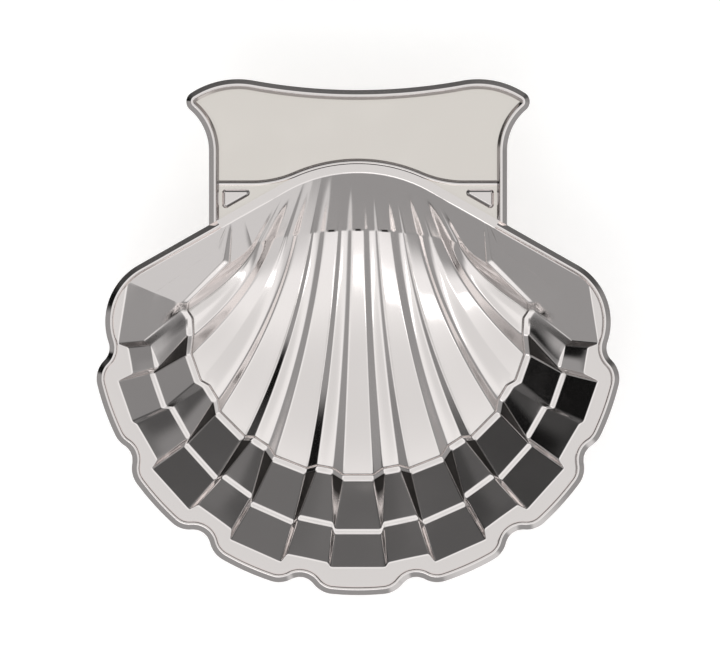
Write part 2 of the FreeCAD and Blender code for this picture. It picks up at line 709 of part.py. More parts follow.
for constraint, formula in plate_constraints:
    number = plate_sketch.addConstraint(constraint)
    plate_sketch.setExpression("Constraints[%d]" % number, formula)
plate_pad = plate.newObject("PartDesign::Pad", "plate_half")
plate_pad.Profile = plate_sketch
plate_pad.setExpression("Length", "sizes.plate_thickness")
doc.recompute()
plate_mirror = plate.newObject("PartDesign::Mirrored", "plate_whole")
plate_mirror.Originals = [plate_pad]
plate_mirror.MirrorPlane = (origin_plane(plate, "YZ_Plane"), [""])
plate.Tip = plate_mirror
plate.Placement.Base.z = FLANGE_UNDER - size("plate_thickness")


# Ear drops: rounded triangles with leaning sides, one in each ear of the handle.
def rounded_triangle(corners, radius):
    """A closed wire round a triangle with its corners rounded."""
    edges = []
    joins = []
    for index, corner in enumerate(corners):
        back = unit(corners[index - 1] - corner)
        onward = unit(corners[(index + 1) % len(corners)] - corner)
        half = back.getAngle(onward) / 2
        reach = radius / math.tan(half)
        centre = corner + unit(back + onward) * (radius / math.sin(half))
        joins.append((corner + back * reach, corner + onward * reach))
        edges.append(arc_about(centre, *joins[-1]))
    for index, (start, end) in enumerate(joins):
        edges.append(line(end, joins[(index + 1) % len(joins)][0]))
    return Part.Wire(Part.__sortEdges__(edges))


drop_side = size("handle_half_width") - size("border_width") - size("drop_margin")
drop_top = brow_line - size("brow_wire_width") / 2 - size("drop_margin")
drop_reach = size("back_radius") + size("drop_gap")
drop_inner = (drop_reach - DIAGONAL_OUT.y * (drop_top - CENTRE_Y)) / DIAGONAL_OUT.x
drop_corners = [
    Vector(drop_side, drop_top, FLANGE_UNDER),
    Vector(drop_inner, drop_top, FLANGE_UNDER),
    at_height(diagonal_at(drop_side, -size("drop_gap")), FLANGE_UNDER),
]
drops = []
for name, move in (("ear_drop_left", mirrored), ("ear_drop_right", Vector)):
    outline = doc.addObject("Part::Feature", name + "_outline")
    triangle = rounded_triangle([move(point) for point in drop_corners], size("drop_corner"))
    outline.Shape = Part.Face(triangle)
    drop = doc.addObject("Part::Extrusion", name)
    drop.Base = outline
    drop.DirMode = "Custom"
    drop.Dir = Vector(0, 0, 1)
    drop.Solid = True
    drop.setExpression("LengthFwd", "sizes.drop_height")
    drop.setExpression("TaperAngle", "-sizes.drop_taper")
    drops.append(drop)

# Ball feet, each under a flared collar that is trimmed to the bowl's underside.
feet = []
seat_radius = math.sqrt(size("ball_radius") ** 2 - size("ball_seat") ** 2)
for name, place in FEET.items():
    ball = doc.addObject("Part::Sphere", "foot_ball_" + name)
    ball.setExpression("Radius", "sizes.ball_radius")
    ball.setExpression("Angle1", "-asin(sizes.ball_pad / sizes.ball_radius)")
    ball.setExpression("Angle2", "asin(sizes.ball_seat / sizes.ball_radius)")
    ball.Placement.Base = place
    ball.setExpression("Placement.Base.z", "sizes.ball_pad")
    stem = doc.addObject("Part::Cone", "collar_stem_" + name)
    stem.Radius1 = seat_radius
    stem.setExpression("Radius2", "sizes.collar_radius")
    stem.Height = FLANGE_TOP + SEATS[name] - COLLAR_FOOT + size("collar_radius") / 2
    stem.Placement.Base = at_height(place, COLLAR_FOOT)
    collar = doc.addObject("Part::Cut", "foot_collar_" + name)
    collar.Base = stem
    collar.Tool = dish_room
    feet += [collar, ball]
doc.recompute()

# Every piece is checked, then written under its own name.
pieces = [bowl, rim_wire, plate, border, brow_wire] + drops + feet
for item in doc.Objects:
    if "Invalid" in item.State or "Error" in item.State:
        raise RuntimeError("%s failed: %s" % (item.Name, item.State))
for piece in pieces:
    if piece.Shape.isNull() or not piece.Shape.isValid():
        raise RuntimeError("%s has no valid shape" % piece.Label)
os.makedirs("parts", exist_ok=True)
for piece in pieces:
    shape = piece.Shape
    shape.exportStep("parts/%s.step" % piece.Label)
    print(piece.Label, "solids", len(shape.Solids), "volume", round(shape.Volume, 2))
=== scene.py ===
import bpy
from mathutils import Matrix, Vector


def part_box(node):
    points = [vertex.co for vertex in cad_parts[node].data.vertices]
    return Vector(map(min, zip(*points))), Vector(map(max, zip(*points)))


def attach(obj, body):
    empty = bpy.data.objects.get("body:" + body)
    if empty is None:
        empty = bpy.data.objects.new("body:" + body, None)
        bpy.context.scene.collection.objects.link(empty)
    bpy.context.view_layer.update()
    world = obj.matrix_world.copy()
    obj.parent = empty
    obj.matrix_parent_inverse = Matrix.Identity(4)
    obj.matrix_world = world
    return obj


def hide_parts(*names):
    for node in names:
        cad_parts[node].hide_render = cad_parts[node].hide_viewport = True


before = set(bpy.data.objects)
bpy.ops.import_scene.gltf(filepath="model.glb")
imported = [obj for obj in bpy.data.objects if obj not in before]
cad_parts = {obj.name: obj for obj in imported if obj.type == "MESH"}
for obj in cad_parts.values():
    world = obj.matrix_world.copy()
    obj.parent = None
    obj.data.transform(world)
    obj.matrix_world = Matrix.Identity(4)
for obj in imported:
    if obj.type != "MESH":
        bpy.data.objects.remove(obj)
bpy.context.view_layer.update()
BOWL_LOW, BOWL_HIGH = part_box("shell_bowl")
FLANGE_TOP = BOWL_HIGH.z

import math

import bpy
import numpy as np
from bpy.props import FloatProperty, FloatVectorProperty, PointerProperty
from mathutils import Vector

bl_info = {
    "name": "Baptismal Shell",
    "version": (1, 0, 0),
    "blender": (4, 5, 0),
    "location": "View3D > Sidebar > Shell",
    "description": "Models a fluted silver scallop dish with a flared handle and ball feet",
    "category": "Add Mesh",
}

MM = 0.001
BODY = "root"
RIDGES_EACH_SIDE = 4
FRONT_LOBES_EACH_SIDE = 2
UP = Vector((0, 0, 1))

# Shares of the way round a rounded corner at which the mesh has a line of points.
BEND_SHARES = (0.0, 0.25, 0.5, 0.75, 1.0)
# A rounding uses at most this share of the straight beside it.
BEND_LIMIT = 0.46
# Points along the curved floor of a flute, and points added on each straight across the flutes.
FLOOR_POINTS = 24
FLUTE_FILL = 3
# Points added on the straights of a rib behind its floor, and in front of it.
BACK_FILL = (1, 4)
FRONT_FILL = (1, 2, 2, 1, 2, 2, 3)
# Places among a rib's folds where the upper and the lower wall band end.
BAND_ENDS = (5, 3)
# Rounding over the crown of a ridge or a wall band, up to the limit above.
CROWN_ROUND = 4 * MM
# Rows of the bowl's skin on its lower wall band, and the sideways tilt past which a dark reflection
# is painted.
LOWER_BAND = slice(-42, -26)
FLANK_TILT = 0.16
# Rows at the foot of the brow's wall, and the share of a flute's pitch that gets painted shade
# there.
UMBO_FOOT = slice(12, 15)
UMBO_MARK = 0.15
UMBO_MARKS_EACH_SIDE = 1
# Hollows of the bowl: the least turn that counts, their gain, and their spread to each side.
HOLLOW_LEAST = 0.05
HOLLOW_GAIN = 5
HOLLOW_SPREAD = 0.4
# Angle over which the flange turns the corner of a shoulder.
CORNER_SPREAD = math.radians(2)
# Ribs behind each shoulder: floor, fold and wall angles in degrees.
DIAGONAL_RIBS = ((93.3, 99, 104.5), (94.1, 103.5, 110), (95, 114, 121))
# Where the umbo's side, the folds and the wall's top end, brow to last rib along the diagonal.
DIAGONAL_SHARES = (0.1, 0.55, 0.63, 0.71, 0.72, 0.75, 0.78, 0.79, 0.88)
# Points round a wire's section, and the fewest, longest and sharpest steps along an arc.
SECTION_POINTS = 32
STEP_COUNT = 2
STEP_LENGTH = 0.7 * MM
STEP_TURN = math.radians(6)
# Points closer than this become one.
MERGE = 0.002 * MM
# With no window, a spin turns about its axis the other way.
SPIN_SENSE = -1

# An ear drop's straight foot as a share of its height, then its insets: shares of slope and height.
DROP_FOOT = 0.1
DROP_INSETS = ((0.75, 0.7), (0.15, 0.07), (0.1, 0.02))
# A collar's turned part as a share of its height, its flare, and its rings: step up and waist.
COLLAR_TURNED = 0.4
COLLAR_FLARE = 2
COLLAR_RINGS = ((0.12, 1.0), (0.16, 0.97), (0.2, 0.97), (0.22, 1.0), (0.3, 1.0))

# Colour, roughness and scale of the polishing lines, for the silver of each slot.
SILVERS = {
    "bowl_silver": ("bright", "polish", (900.0, 260.0, 900.0)),
    "wire_silver": ("bright", "polish", (700.0, 700.0, 1500.0)),
    "panel_silver": ("worn", "brushed", (180.0, 5200.0, 5200.0)),
    "foot_silver": ("worn", "polish", (400.0, 400.0, 2600.0)),
}
# Scale and detail of the noise behind smudges, specks and polishing lines, and the lines' depth.
SMUDGES = (55.0, 4.0)
SPECKS = (420.0, 5.0)
LINES = (1.0, 2.0)
LINE_DEPTH = 0.02 * MM
# Levels between which smudges and the tarnish with painted shade come in, that tarnish between and
# on the specks, and its most.
SMUDGE_COMES = (0.42, 0.7)
TARNISH_AND_SHADE_COMES = (0.25, 1.0)
TARNISH_AND_SHADE_SPECKS = (0.55, 1.45)
TARNISH_AND_SHADE_MOST = 0.75
# Roughness that specks, the tarnish with painted shade, and the black painted shade add.
SPECK_ROUGHNESS = 0.03
TARNISH_AND_SHADE_ROUGHNESS = 0.12
PAINTED_SHADE_ROUGHNESS = 0.3
# Tarnish with painted shade at the foot of the wires, at the foot of the handle's mouldings, and at
# the balls' seats.
WIRE_TARNISH_AND_SHADE = 0.6
MOULDING_TARNISH_AND_SHADE = 0.8
SEAT_TARNISH_AND_SHADE = 1.0
# How fast painted shade comes as the brow wire turns towards the panel.
BROW_PAINTED_SHADE_GAIN = 2

# The stage in metres: its floor, its lamp and the camera's sight.
FLOOR_SIZE = 6
SOFTBOX_PLACE = (-0.35, -0.75, 1.0)
SOFTBOX_SIZE = 0.7
CAMERA_SIGHT = 20
# The light that lifts the floor to white, and the camera's sensor in millimetres.
FLOOR_LIFT = 0.3
SENSOR_WIDTH = 36
# Angles from straight up between which the tent's roof grows darker.
ROOF_OUT = math.radians(26)
ROOF_IN = math.radians(3)
# Where the skirt changes, from and to, in shares of its radius: across to +X, along to +Y.
SKIRT_RIGHT = (-0.2, 0.2)
SKIRT_LIT = (-0.45, 0.45)
SKIRT_LEFT = (-0.45, -0.75)
SKIRT_BACK = (0.72, 0.88)
SKIRT_SIDE = (0.6, 0.38)
SKIRT_CORNER_ACROSS = (0.22, 0.4)
SKIRT_CORNER_ALONG = (-0.62, -0.75)
# The start and end of its front, each on the left and on the right.
SKIRT_FRONT_FROM = (0.26, 0.2)
SKIRT_FRONT_TO = (0.12, -0.05)
# Where its foot ends, in foot heights; its fade to the room in skirt heights, plain and front left.
SKIRT_FOOT = (0.4, 0.9)
SKIRT_FADE_FROM = (0.39, 0.7)
SKIRT_FADE_TO = (0.78, 1.0)
# Its greys: the back's corners and middle, their share on the left and right, and the two sides;
# then the front, the front's right corner, and the share left at the foot and above it.
GREY_BACK = (0.08, 0.15)
GREY_LIT = (0.62, 1.0)
GREY_SIDES = (0.004, 0.234)
GREY_FRONT = 0.3
GREY_CORNER = 0.62
GREY_FOOT = (0.12, 1.0)


# Properties that a user would change.
def length(name, size, note):
    """A length property, its default given in millimetres."""
    return FloatProperty(name=name, description=note, default=size * MM, unit="LENGTH")


def angle(name, degrees, note):
    """An angle property, its default given in degrees."""
    return FloatProperty(
        name=name, description=note, default=math.radians(degrees), subtype="ANGLE"
    )


def share(name, value, note):
    """A plain number between nothing and all."""
    return FloatProperty(name=name, description=note, default=value, min=0, max=1, subtype="FACTOR")


def tint(name, value, note):
    """A colour property."""
    return FloatVectorProperty(
        name=name, description=note, default=value, size=3, min=0, max=1, subtype="COLOR"
    )


class BowlSizes(bpy.types.PropertyGroup):
    """Sizes of the fluted bowl and its scalloped rim."""

    sheet_thickness: length("Sheet", 1.0, "Thickness of the bowl's sheet")
    flute_pitch: angle("Flute pitch", 24, "From one channel to the next about the bowl's centre")
    channel_half_angle: angle("Channel", 6.2, "Half the flat of a channel on the wall")
    channel_half_floor: angle("Channel on floor", 5.9, "Half the flat of a channel on the floor")
    front_half_floor: angle("Front channel", 5.2, "Half the flat of the middle channel, floor")
    ridge_half_angle: angle("Ridge", 2.9, "Half the flat of a ridge on the floor")
    ridge_shift: angle("Ridge shift", 0.6, "Ridges past the first stand further out on the floor")
    ridge_half_angle_wall: angle("Ridge on wall", 4.9, "Half the flat of a ridge, upper wall")
    flute_lean: angle("Flute lean", 3.2, "Outward lean of the side flutes at the lower fold")
    lobe_radius: length("Lobe radius", 63.5, "Bowl's centre to the front lobes of the rim")
    side_step: length("Side step", 1.5, "How far the side lobes stand in from the front ones")
    notch_depth: length("Notch depth", 2.8, "Front lobes in to the notches between them")
    side_notch_depth: length("Side notch", 4.3, "Side lobes in to the last notch on each side")
    lobe_corner: length("Lobe corner", 6, "Rounding at the ends of a lobe")
    notch_curve: length("Notch curve", 4, "Hollow curve of a notch")
    shoulder_curve: length("Shoulder curve", 15, "Curve of the shoulder lobe by the handle")
    back_radius: length("Back radius", 36, "Bowl's centre to the flange's edge at the brow")
    diagonal_angle: angle("Diagonal", 29.5, "Slope of the straight edge from shoulder to brow")
    lobe_flange: length("Lobe flange", 4.8, "Flange inside a lobe")
    front_flange: length("Front flange", 6, "Flange inside the middle lobe")
    notch_flange: length("Notch flange", 4.2, "Flange inside a notch")
    back_flange: length("Back flange", 2, "Flange along the brow and the diagonals")
    upper_band: length("Upper band", 8.8, "Flange in to the upper fold, seen from above")
    upper_ledge: length("Upper ledge", 1.1, "Flat ledge on the upper fold")
    lower_band_front: length("Lower band, front", 11.1, "Upper ledge in to the lower one")
    lower_band_side: length("Lower band, side", 7.6, "Upper ledge in to the lower one")
    lower_ledge: length("Lower ledge", 1.4, "Flat ledge on the lower fold")
    shoulder_ledge: length("Shoulder ledge", 0.05, "Ledge on the upper fold beside the shoulder")
    ledge_slope: angle("Ledge slope", 6.5, "Rise of the ledges towards the rim")
    fold_step: length("Fold step", 0.5, "Step from the floor up to the lower ledge")
    step_slope: angle("Step slope", 65, "Slope of that step")
    ridge_inset_upper: length("Ridge inset, upper", 1.5, "Ridge stands in at the upper fold")
    ridge_inset_lower: length("Ridge inset, lower", 1.3, "Ridge stands in at the lower fold")
    ridge_height: length("Ridge height", 0.6, "Ridge above the channels on the floor")
    ridge_height_umbo: length("Ridge height, umbo", 0.45, "Ridge above the channels, umbo's foot")
    upper_slope: angle("Upper slope", 38, "Slope of the upper wall band")
    lower_slope: angle("Lower slope", 35, "Slope of the lower wall band")
    shoulder_angle: angle("Shoulder", 99.5, "Outer edge of the shoulder's flute, on the rim")
    shoulder_floor: angle("Shoulder floor", 92.5, "Outer edge of the shoulder's flute, floor")
    shoulder_run: angle("Shoulder run", 135, "Square to the lower fold's straight run behind it")
    shoulder_half_angle: angle("Shoulder half", 11.6, "Shoulder's flute towards its ridge, rim")
    last_ridge_shift: angle("Last ridge shift", 4.1, "Last ridge's wall in front of its notch")
    last_ridge_half: angle("Last ridge half", 3.3, "Half of the last ridge's wall")
    last_channel_trim: angle("Last channel trim", 2.5, "Channel beside it, less on that side")
    shoulder_slope: angle("Shoulder slope", 37, "Slope of the wall behind the shoulder")
    shoulder_rise: length("Shoulder rise", 1.1, "How much less deep the shoulder's flute is")
    brow_step_angle: angle("Brow step", 8, "Flute spacing along the brow")
    umbo_pitch: length("Umbo pitch", 6.2, "Flute spacing at the foot of the umbo")
    umbo_reach: length("Umbo reach", 21, "Bowl's centre back to the foot of the umbo")
    umbo_depth: length("Umbo depth", 10.4, "Flange down to the foot of the umbo")
    umbo_bow: length("Umbo bow", 0.22, "Curve forward of the umbo's foot, per flute squared")
    umbo_rise: length("Umbo rise", 0.36, "Rise of the umbo's foot, per flute squared")
    floor_sag: length("Floor sag", 7.8, "Pull of the floor below its ends, middle flute")
    floor_sag_fall: length("Floor sag fall", 0.3, "Loss of that pull, per flute squared")
    sag_run: length("Sag's run", 20, "Length of the shortest floor with the full sag")
    floor_flare: share("Floor flare", 0.25, "Share of a flute's spread reached halfway along")
    fold_round: length("Fold rounding", 0.4, "Rounding along the folds, on the inside")
    flute_round: length("Flute rounding", 0.4, "Rounding along the flutes, on the inside")
    under_round: length("Under rounding", 0.9, "Rounding of folds and flutes, on the underside")
    ridge_crown: share("Ridge crown", 0.045, "Crown of a ridge, as a share of its width")
    band_crown: length("Band crown", 0.15, "Crown of the wall bands between their folds")


class WireSizes(bpy.types.PropertyGroup):
    """Sizes of the wires and mouldings soldered on the bowl and handle."""

    rim_width: length("Rim wire", 2.0, "Moulded wire on the bowl's rim")
    rim_height: length("Rim wire height", 0.9, "Moulded wire above the flange")
    rim_crest: length("Rim crest", 1.4, "Outer edge of the rim wire in to its crest")
    border_width: length("Border", 2.3, "Moulding round the handle")
    border_crest: length("Border crest", 1.35, "Outer edge of the border in to its crest")
    crest_width: length("Crest", 0.35, "Flat along the crests of rim wire and border")
    crest_round: length("Crest rounding", 0.12, "Rounding beside that flat")
    brow_width: length("Brow wire", 1.3, "Wire along the brow")
    brow_height: length("Brow wire height", 0.6, "Wire along the brow, above the plate")
    # The brow wire's painted shade, on its side towards the panel.
    brow_painted_shade: share("Brow oxide", 0.5, "Oxide along the brow wire's side towards the panel")
    brow_crest: length("Brow crest", 0.42, "Front edge of the brow wire to its crest")
    brow_drop: length("Brow drop", 4.4, "Brow in to the brow wire's straight ends")
    brow_sweep: length("Brow sweep", 25, "Hollow curve between those ends and the brow")


class HandleSizes(bpy.types.PropertyGroup):
    """Sizes of the flat flared handle and the drops in its ears."""

    plate_thickness: length("Plate", 1.2, "Thickness of the handle plate")
    half_width: length("Half width", 34.4, "Half the handle between its straight sides")
    reach: length("Reach", 55.6, "Bowl's centre to the handle's crests")
    side_top: length("Side top", 39, "Bowl's centre back to where the sides start to flare")
    flare_curve: length("Flare", 12.6, "Curve of the flaring sides")
    corner_curve: length("Corner", 2.4, "Rounding of the handle's top corners")
    crest_offset: length("Crest offset", 27.7, "Middle line to a crest")
    crest_curve: length("Crest curve", 20, "Curve of a crest")
    dip_depth: length("Dip", 2.5, "Crests down to the dip between them")
    lap: length("Lap", 1.3, "Handle plate tucked under the bowl's flange")
    edge_round: length("Edge rounding", 0.2, "Rounding of the plate's edges")
    drop_height: length("Drop height", 0.8, "Ear drop above the plate")
    drop_corner: length("Drop corner", 0.9, "Rounding of an ear drop's corners")
    drop_margin: length("Drop margin", 0.7, "Ear drop clear of the mouldings beside it")
    drop_gap: length("Drop gap", 1.4, "Ear drop clear of the bowl's edge")
    drop_slope: length("Drop slope", 0.85, "Run of an ear drop's leaning sides")


class FootSizes(bpy.types.PropertyGroup):
    """Sizes of the ball feet and their collars."""

    ball_radius: length("Ball", 3, "Radius of a ball foot")
    ball_pad: length("Pad", 2.8, "Ball's centre down to its worn flat")
    ball_seat: length("Seat", 2.2, "Ball's centre up to its collar")


class SilverFinish(bpy.types.PropertyGroup):
    """Colours and polish of the silver plate."""

    bright: tint("Bright silver", (0.945, 0.9, 0.885), "Polished silver plate")
    worn: tint("Worn silver", (0.905, 0.86, 0.81), "Silver plate that is handled a lot")
    # Tarnish colour, also used for painted shade in the corners and at the feet of wires, mouldings
    # and ball seats.
    tarnish_and_shade: tint("Tarnish", (0.5, 0.475, 0.455), "Grey bloom left in the corners")
    # Near-black painted shade: dark reflections on the ridges' flanks, shade at the umbo's foot and
    # on the brow wire's back.
    painted_shade: tint("Oxide", (0.05, 0.047, 0.045), "Black oxide that polishing doesn't reach")
    polish: share("Polish", 0.07, "Roughness of polished silver")
    brushed: share("Brushed", 0.2, "Roughness of the brushed handle panel")
    smudge: share("Smudges", 0.06, "How much handling dulls the polish")
    scratch: share("Scratches", 0.05, "Depth of fine polishing lines")


class StudioSetup(bpy.types.PropertyGroup):
    """Camera, floor and soft light."""

    camera_height: length("Camera height", 1500, "Camera above the rim")
    frame_width: length("Frame width", 166.2, "Width that the picture shows at the rim")
    centre_x: length("Centre across", 0.46, "Picture's middle, to the right")
    centre_y: length("Centre along", 1.64, "Picture's middle, towards the handle")
    floor_colour: tint("Floor", (0.86, 0.86, 0.86), "Plain pale floor")
    room_colour: tint("Room", (0.88, 0.88, 0.875), "White tent round the object")
    skirt_radius: length("Skirt radius", 600, "Dark skirt round the tent's foot")
    skirt_height: length("Skirt height", 1000, "Dark skirt above the floor")
    skirt_foot: length("Skirt foot", 100, "Darkest part at the foot of the skirt")
    roof_dim: share("Roof", 0.2, "How much darker the tent is straight above")
    lamp_power: FloatProperty(
        name="Softbox", description="Power of the front softbox", default=1.6, min=0, unit="POWER"
    )


# Plan of the bowl: the same arcs and lines as the pressed sheet's outline.
def sizes_of(kind):
    """One of the scene's groups of sizes."""
    return getattr(bpy.context.scene, f"shell_{kind}_sizes")


def flange_under():
    """Height of the flange's underside, on which the handle plate's top lies."""
    return FLANGE_TOP - sizes_of("bowl").sheet_thickness


def bowl_centre(z=0.0):
    """The bowl's centre in plan, worked out from the front of its rim."""
    return Vector((0, BOWL_LOW.y + sizes_of("bowl").lobe_radius, z))


def polar(radius, turn, z=0.0):
    """A point about the bowl's centre, its angle taken from the front towards +X."""
    return bowl_centre(z) + Vector((radius * math.sin(turn), -radius * math.cos(turn), 0))


def polar_angle(point):
    """The angle of a point about the bowl's centre."""
    offset = point - bowl_centre()
    return math.atan2(offset.x, -offset.y)


def mirrored(point):
    return Vector((-point.x, point.y, point.z))


def at_height(point, z):
    return Vector((point.x, point.y, z))


def toward(start, end, reach):
    """The point at a distance from a start towards an end."""
    return start + (end - start).normalized() * reach


def diagonal_turn():
    return math.pi - sizes_of("bowl").diagonal_angle


def diagonal_out():
    """Direction out across the right diagonal."""
    return Vector((math.sin(diagonal_turn()), -math.cos(diagonal_turn()), 0))


def diagonal_forward():
    """Direction along the right diagonal, from the brow to the shoulder."""
    out = diagonal_out()
    return Vector((out.y, -out.x, 0))


def diagonal_at(x, inset):
    """The point of the right diagonal, moved in from the flange's edge, at a given x."""
    out = diagonal_out()
    centre = bowl_centre()
    reach = sizes_of("bowl").back_radius - inset
    return Vector((x, centre.y + (reach - out.x * x) / out.y, 0))


def lobe_radius(index):
    bowl = sizes_of("bowl")
    return bowl.lobe_radius - (0 if abs(index) <= FRONT_LOBES_EACH_SIDE else bowl.side_step)


def notch_radius(index):
    bowl = sizes_of("bowl")
    if index == RIDGES_EACH_SIDE - 1:
        return lobe_radius(index) - bowl.side_notch_depth
    return bowl.lobe_radius - bowl.notch_depth


def corner_turn(lobe, notch):
    """Angle about the bowl's centre from a notch to the lobe's corner beside it."""
    bowl = sizes_of("bowl")
    near = lobe - bowl.lobe_corner
    far = notch + bowl.notch_curve
    apart = bowl.lobe_corner + bowl.notch_curve
    return math.acos((near**2 + far**2 - apart**2) / (2 * near * far))


def shoulder_centre():
    """Centre of the shoulder lobe, tangent to the last notch and to the diagonal."""
    bowl = sizes_of("bowl")
    last = RIDGES_EACH_SIDE - 1
    notch = polar(notch_radius(last) + bowl.notch_curve, (last + 0.5) * bowl.flute_pitch)
    foot = bowl_centre() + diagonal_out() * (bowl.back_radius - bowl.shoulder_curve)
    reach = bowl.shoulder_curve + bowl.notch_curve
    along = (notch - foot).dot(diagonal_forward())
    across = (notch - foot).dot(diagonal_out())
    return foot + diagonal_forward() * (along - math.sqrt(reach**2 - across**2))


def rim_circles():
    """Circles of the rim's right half from the front: centre, radius, and hollow or not."""
    bowl = sizes_of("bowl")
    corner = bowl.lobe_corner
    circles = []
    for index in range(RIDGES_EACH_SIDE):
        lobe = lobe_radius(index)
        notch = notch_radius(index)
        notch_angle = (index + 0.5) * bowl.flute_pitch
        circles.append((bowl_centre(), lobe, False))
        turn = notch_angle - corner_turn(lobe, notch)
        circles.append((polar(lobe - corner, turn), corner, False))
        hollow = polar(notch + bowl.notch_curve, notch_angle)
        circles.append((hollow, bowl.notch_curve, True))
        if index < RIDGES_EACH_SIDE - 1:
            following = lobe_radius(index + 1)
            turn = notch_angle + corner_turn(following, notch)
            circles.append((polar(following - corner, turn), corner, False))
    circles.append((shoulder_centre(), bowl.shoulder_curve, False))
    return circles


def tangent_point(first, second, inset):
    """Where two neighbouring circles of the rim touch, moved in from the edge."""
    (centre, radius, hollow), (other, other_radius, other_hollow) = first, second
    if hollow or (not other_hollow and radius < other_radius):
        return toward(other, centre, other_radius - inset)
    return toward(centre, other, radius - inset)


# Flat paths of tangent arcs and straight runs.
def arc_step(centre, start, end):
    """An arc's centre and its signed turn."""
    first = start - centre
    last = end - centre
    turn = math.atan2(first.x * last.y - first.y * last.x, first.x * last.x + first.y * last.y)
    return centre, turn


def run_step(start, end):
    """A straight run: no centre, and the way it goes."""
    return None, end - start


def rim_path(inset):
    """Start and steps of the rim's right half, from the front to the end of the shoulder."""
    bowl = sizes_of("bowl")
    circles = rim_circles()
    first = polar(lobe_radius(0) - inset, 0)
    steps = []
    start = first
    for circle, following in zip(circles[:-1], circles[1:]):
        end = tangent_point(circle, following, inset)
        steps.append(arc_step(circle[0], start, end))
        start = end
    end = shoulder_centre() + diagonal_out() * (bowl.shoulder_curve - inset)
    steps.append(arc_step(shoulder_centre(), start, end))
    return first, steps, end


def arc_count(arm, turn):
    """How many steps an arc is made of, given its arm and its turn."""
    reach = math.hypot(arm.x, arm.y)
    by_turn = math.ceil(abs(turn) / STEP_TURN)
    return max(STEP_COUNT, by_turn, math.ceil(reach * abs(turn) / STEP_LENGTH))


def points_along(start, steps):
    """Points along a flat path, close together on its arcs."""
    points = [start]
    for centre, move in steps:
        if centre is None:
            points.append(points[-1] + move)
            continue
        arm = points[-1] - centre
        count = arc_count(arm, move)
        for number in range(1, count + 1):
            turn = move * number / count
            cos, sin = math.cos(turn), math.sin(turn)
            turned = Vector((arm.x * cos - arm.y * sin, arm.x * sin + arm.y * cos, 0))
            points.append(centre + turned)
    return points


def flange_outline():
    """The flange's edge on the right as angles and radii about the bowl's centre."""
    bowl = sizes_of("bowl")
    start, steps, shoulder_end = rim_path(0)
    brow_corner = bowl_centre() + diagonal_out() * bowl.back_radius
    back = bowl_centre() + Vector((0, bowl.back_radius, 0))
    diagonal = brow_corner - shoulder_end
    count = math.ceil(diagonal.length / STEP_LENGTH)
    steps += [(None, diagonal / count)] * count
    steps.append(arc_step(bowl_centre(), brow_corner, back))
    points = points_along(start, steps)
    angles = np.array([abs(polar_angle(point)) for point in points])
    radii = np.array([(point - bowl_centre()).length for point in points])
    order = np.argsort(angles)
    return angles[order], radii[order]


# The bowl's ribs: brow, umbo, floor, folds and flange, as on the pressed sheet.
def rib_places():
    """Edges of the flutes from left to right: floor, fold and wall angles, raised or not."""
    bowl = sizes_of("bowl")
    places = []
    for index in range(-RIDGES_EACH_SIDE, RIDGES_EACH_SIDE):
        ridge = (index + 0.5) * bowl.flute_pitch
        shift = math.copysign(bowl.ridge_shift, ridge) if abs(ridge) > bowl.flute_pitch else 0
        places.append(channel_edge(index, 1))
        wall_middle, wall_half = ridge, bowl.ridge_half_angle_wall
        if abs(ridge) > (RIDGES_EACH_SIDE - 1) * bowl.flute_pitch:
            wall_middle -= math.copysign(bowl.last_ridge_shift, ridge)
            wall_half = bowl.last_ridge_half
        for side in (-1, 1):
            floor_angle = ridge + shift + side * bowl.ridge_half_angle
            places.append((floor_angle, wall_middle + side * wall_half, True))
        places.append(channel_edge(index + 1, -1))
    places = [(floor, lean(floor), wall, raised) for floor, wall, raised in places]
    turns = [(bowl.shoulder_floor, lean(bowl.shoulder_floor), bowl.shoulder_angle)]
    turns += [[math.radians(degrees) for degrees in line] for line in DIAGONAL_RIBS]
    right = [(*line, False) for line in turns]
    left = [(-floor, -fold, -wall, False) for floor, fold, wall in reversed(turns)]
    return left + places + right


def lean(floor_angle):
    """Angle at the lower fold of a flute that leans outwards."""
    return floor_angle + sizes_of("bowl").flute_lean * math.sin(floor_angle)


def channel_edge(index, side):
    """One edge of a channel: floor angle, wall angle, not raised."""
    bowl = sizes_of("bowl")
    middle = index * bowl.flute_pitch
    floor_half = bowl.channel_half_floor if index else bowl.front_half_floor
    wall_half = bowl.channel_half_angle
    if abs(index) == RIDGES_EACH_SIDE:
        wall_half = bowl.shoulder_half_angle
    elif index * side == RIDGES_EACH_SIDE - 1:
        wall_half -= bowl.last_channel_trim
        floor_half -= bowl.last_channel_trim
    return middle + side * floor_half, middle + side * wall_half, False


def brow_radius():
    """Bowl's centre to the dish's edge at the brow."""
    bowl = sizes_of("bowl")
    return bowl.back_radius - bowl.back_flange


def diagonal_radius(turn):
    """Bowl's centre to the dish's edge along the diagonal."""
    return brow_radius() / math.cos(diagonal_turn() - turn)


def flange_inner_radius(wall_angle, raised):
    """Bowl's centre to the dish's edge at the top of a rib."""
    bowl = sizes_of("bowl")
    steps = abs(wall_angle) / bowl.flute_pitch
    if raised:
        return notch_radius(int(steps)) - bowl.notch_flange
    if round(steps) >= RIDGES_EACH_SIDE:
        shoulder = notch_radius(RIDGES_EACH_SIDE - 1) - bowl.back_flange
        return min(shoulder, diagonal_radius(abs(wall_angle)))
    flange = bowl.lobe_flange if round(steps) else bowl.front_flange
    return lobe_radius(round(steps)) - flange


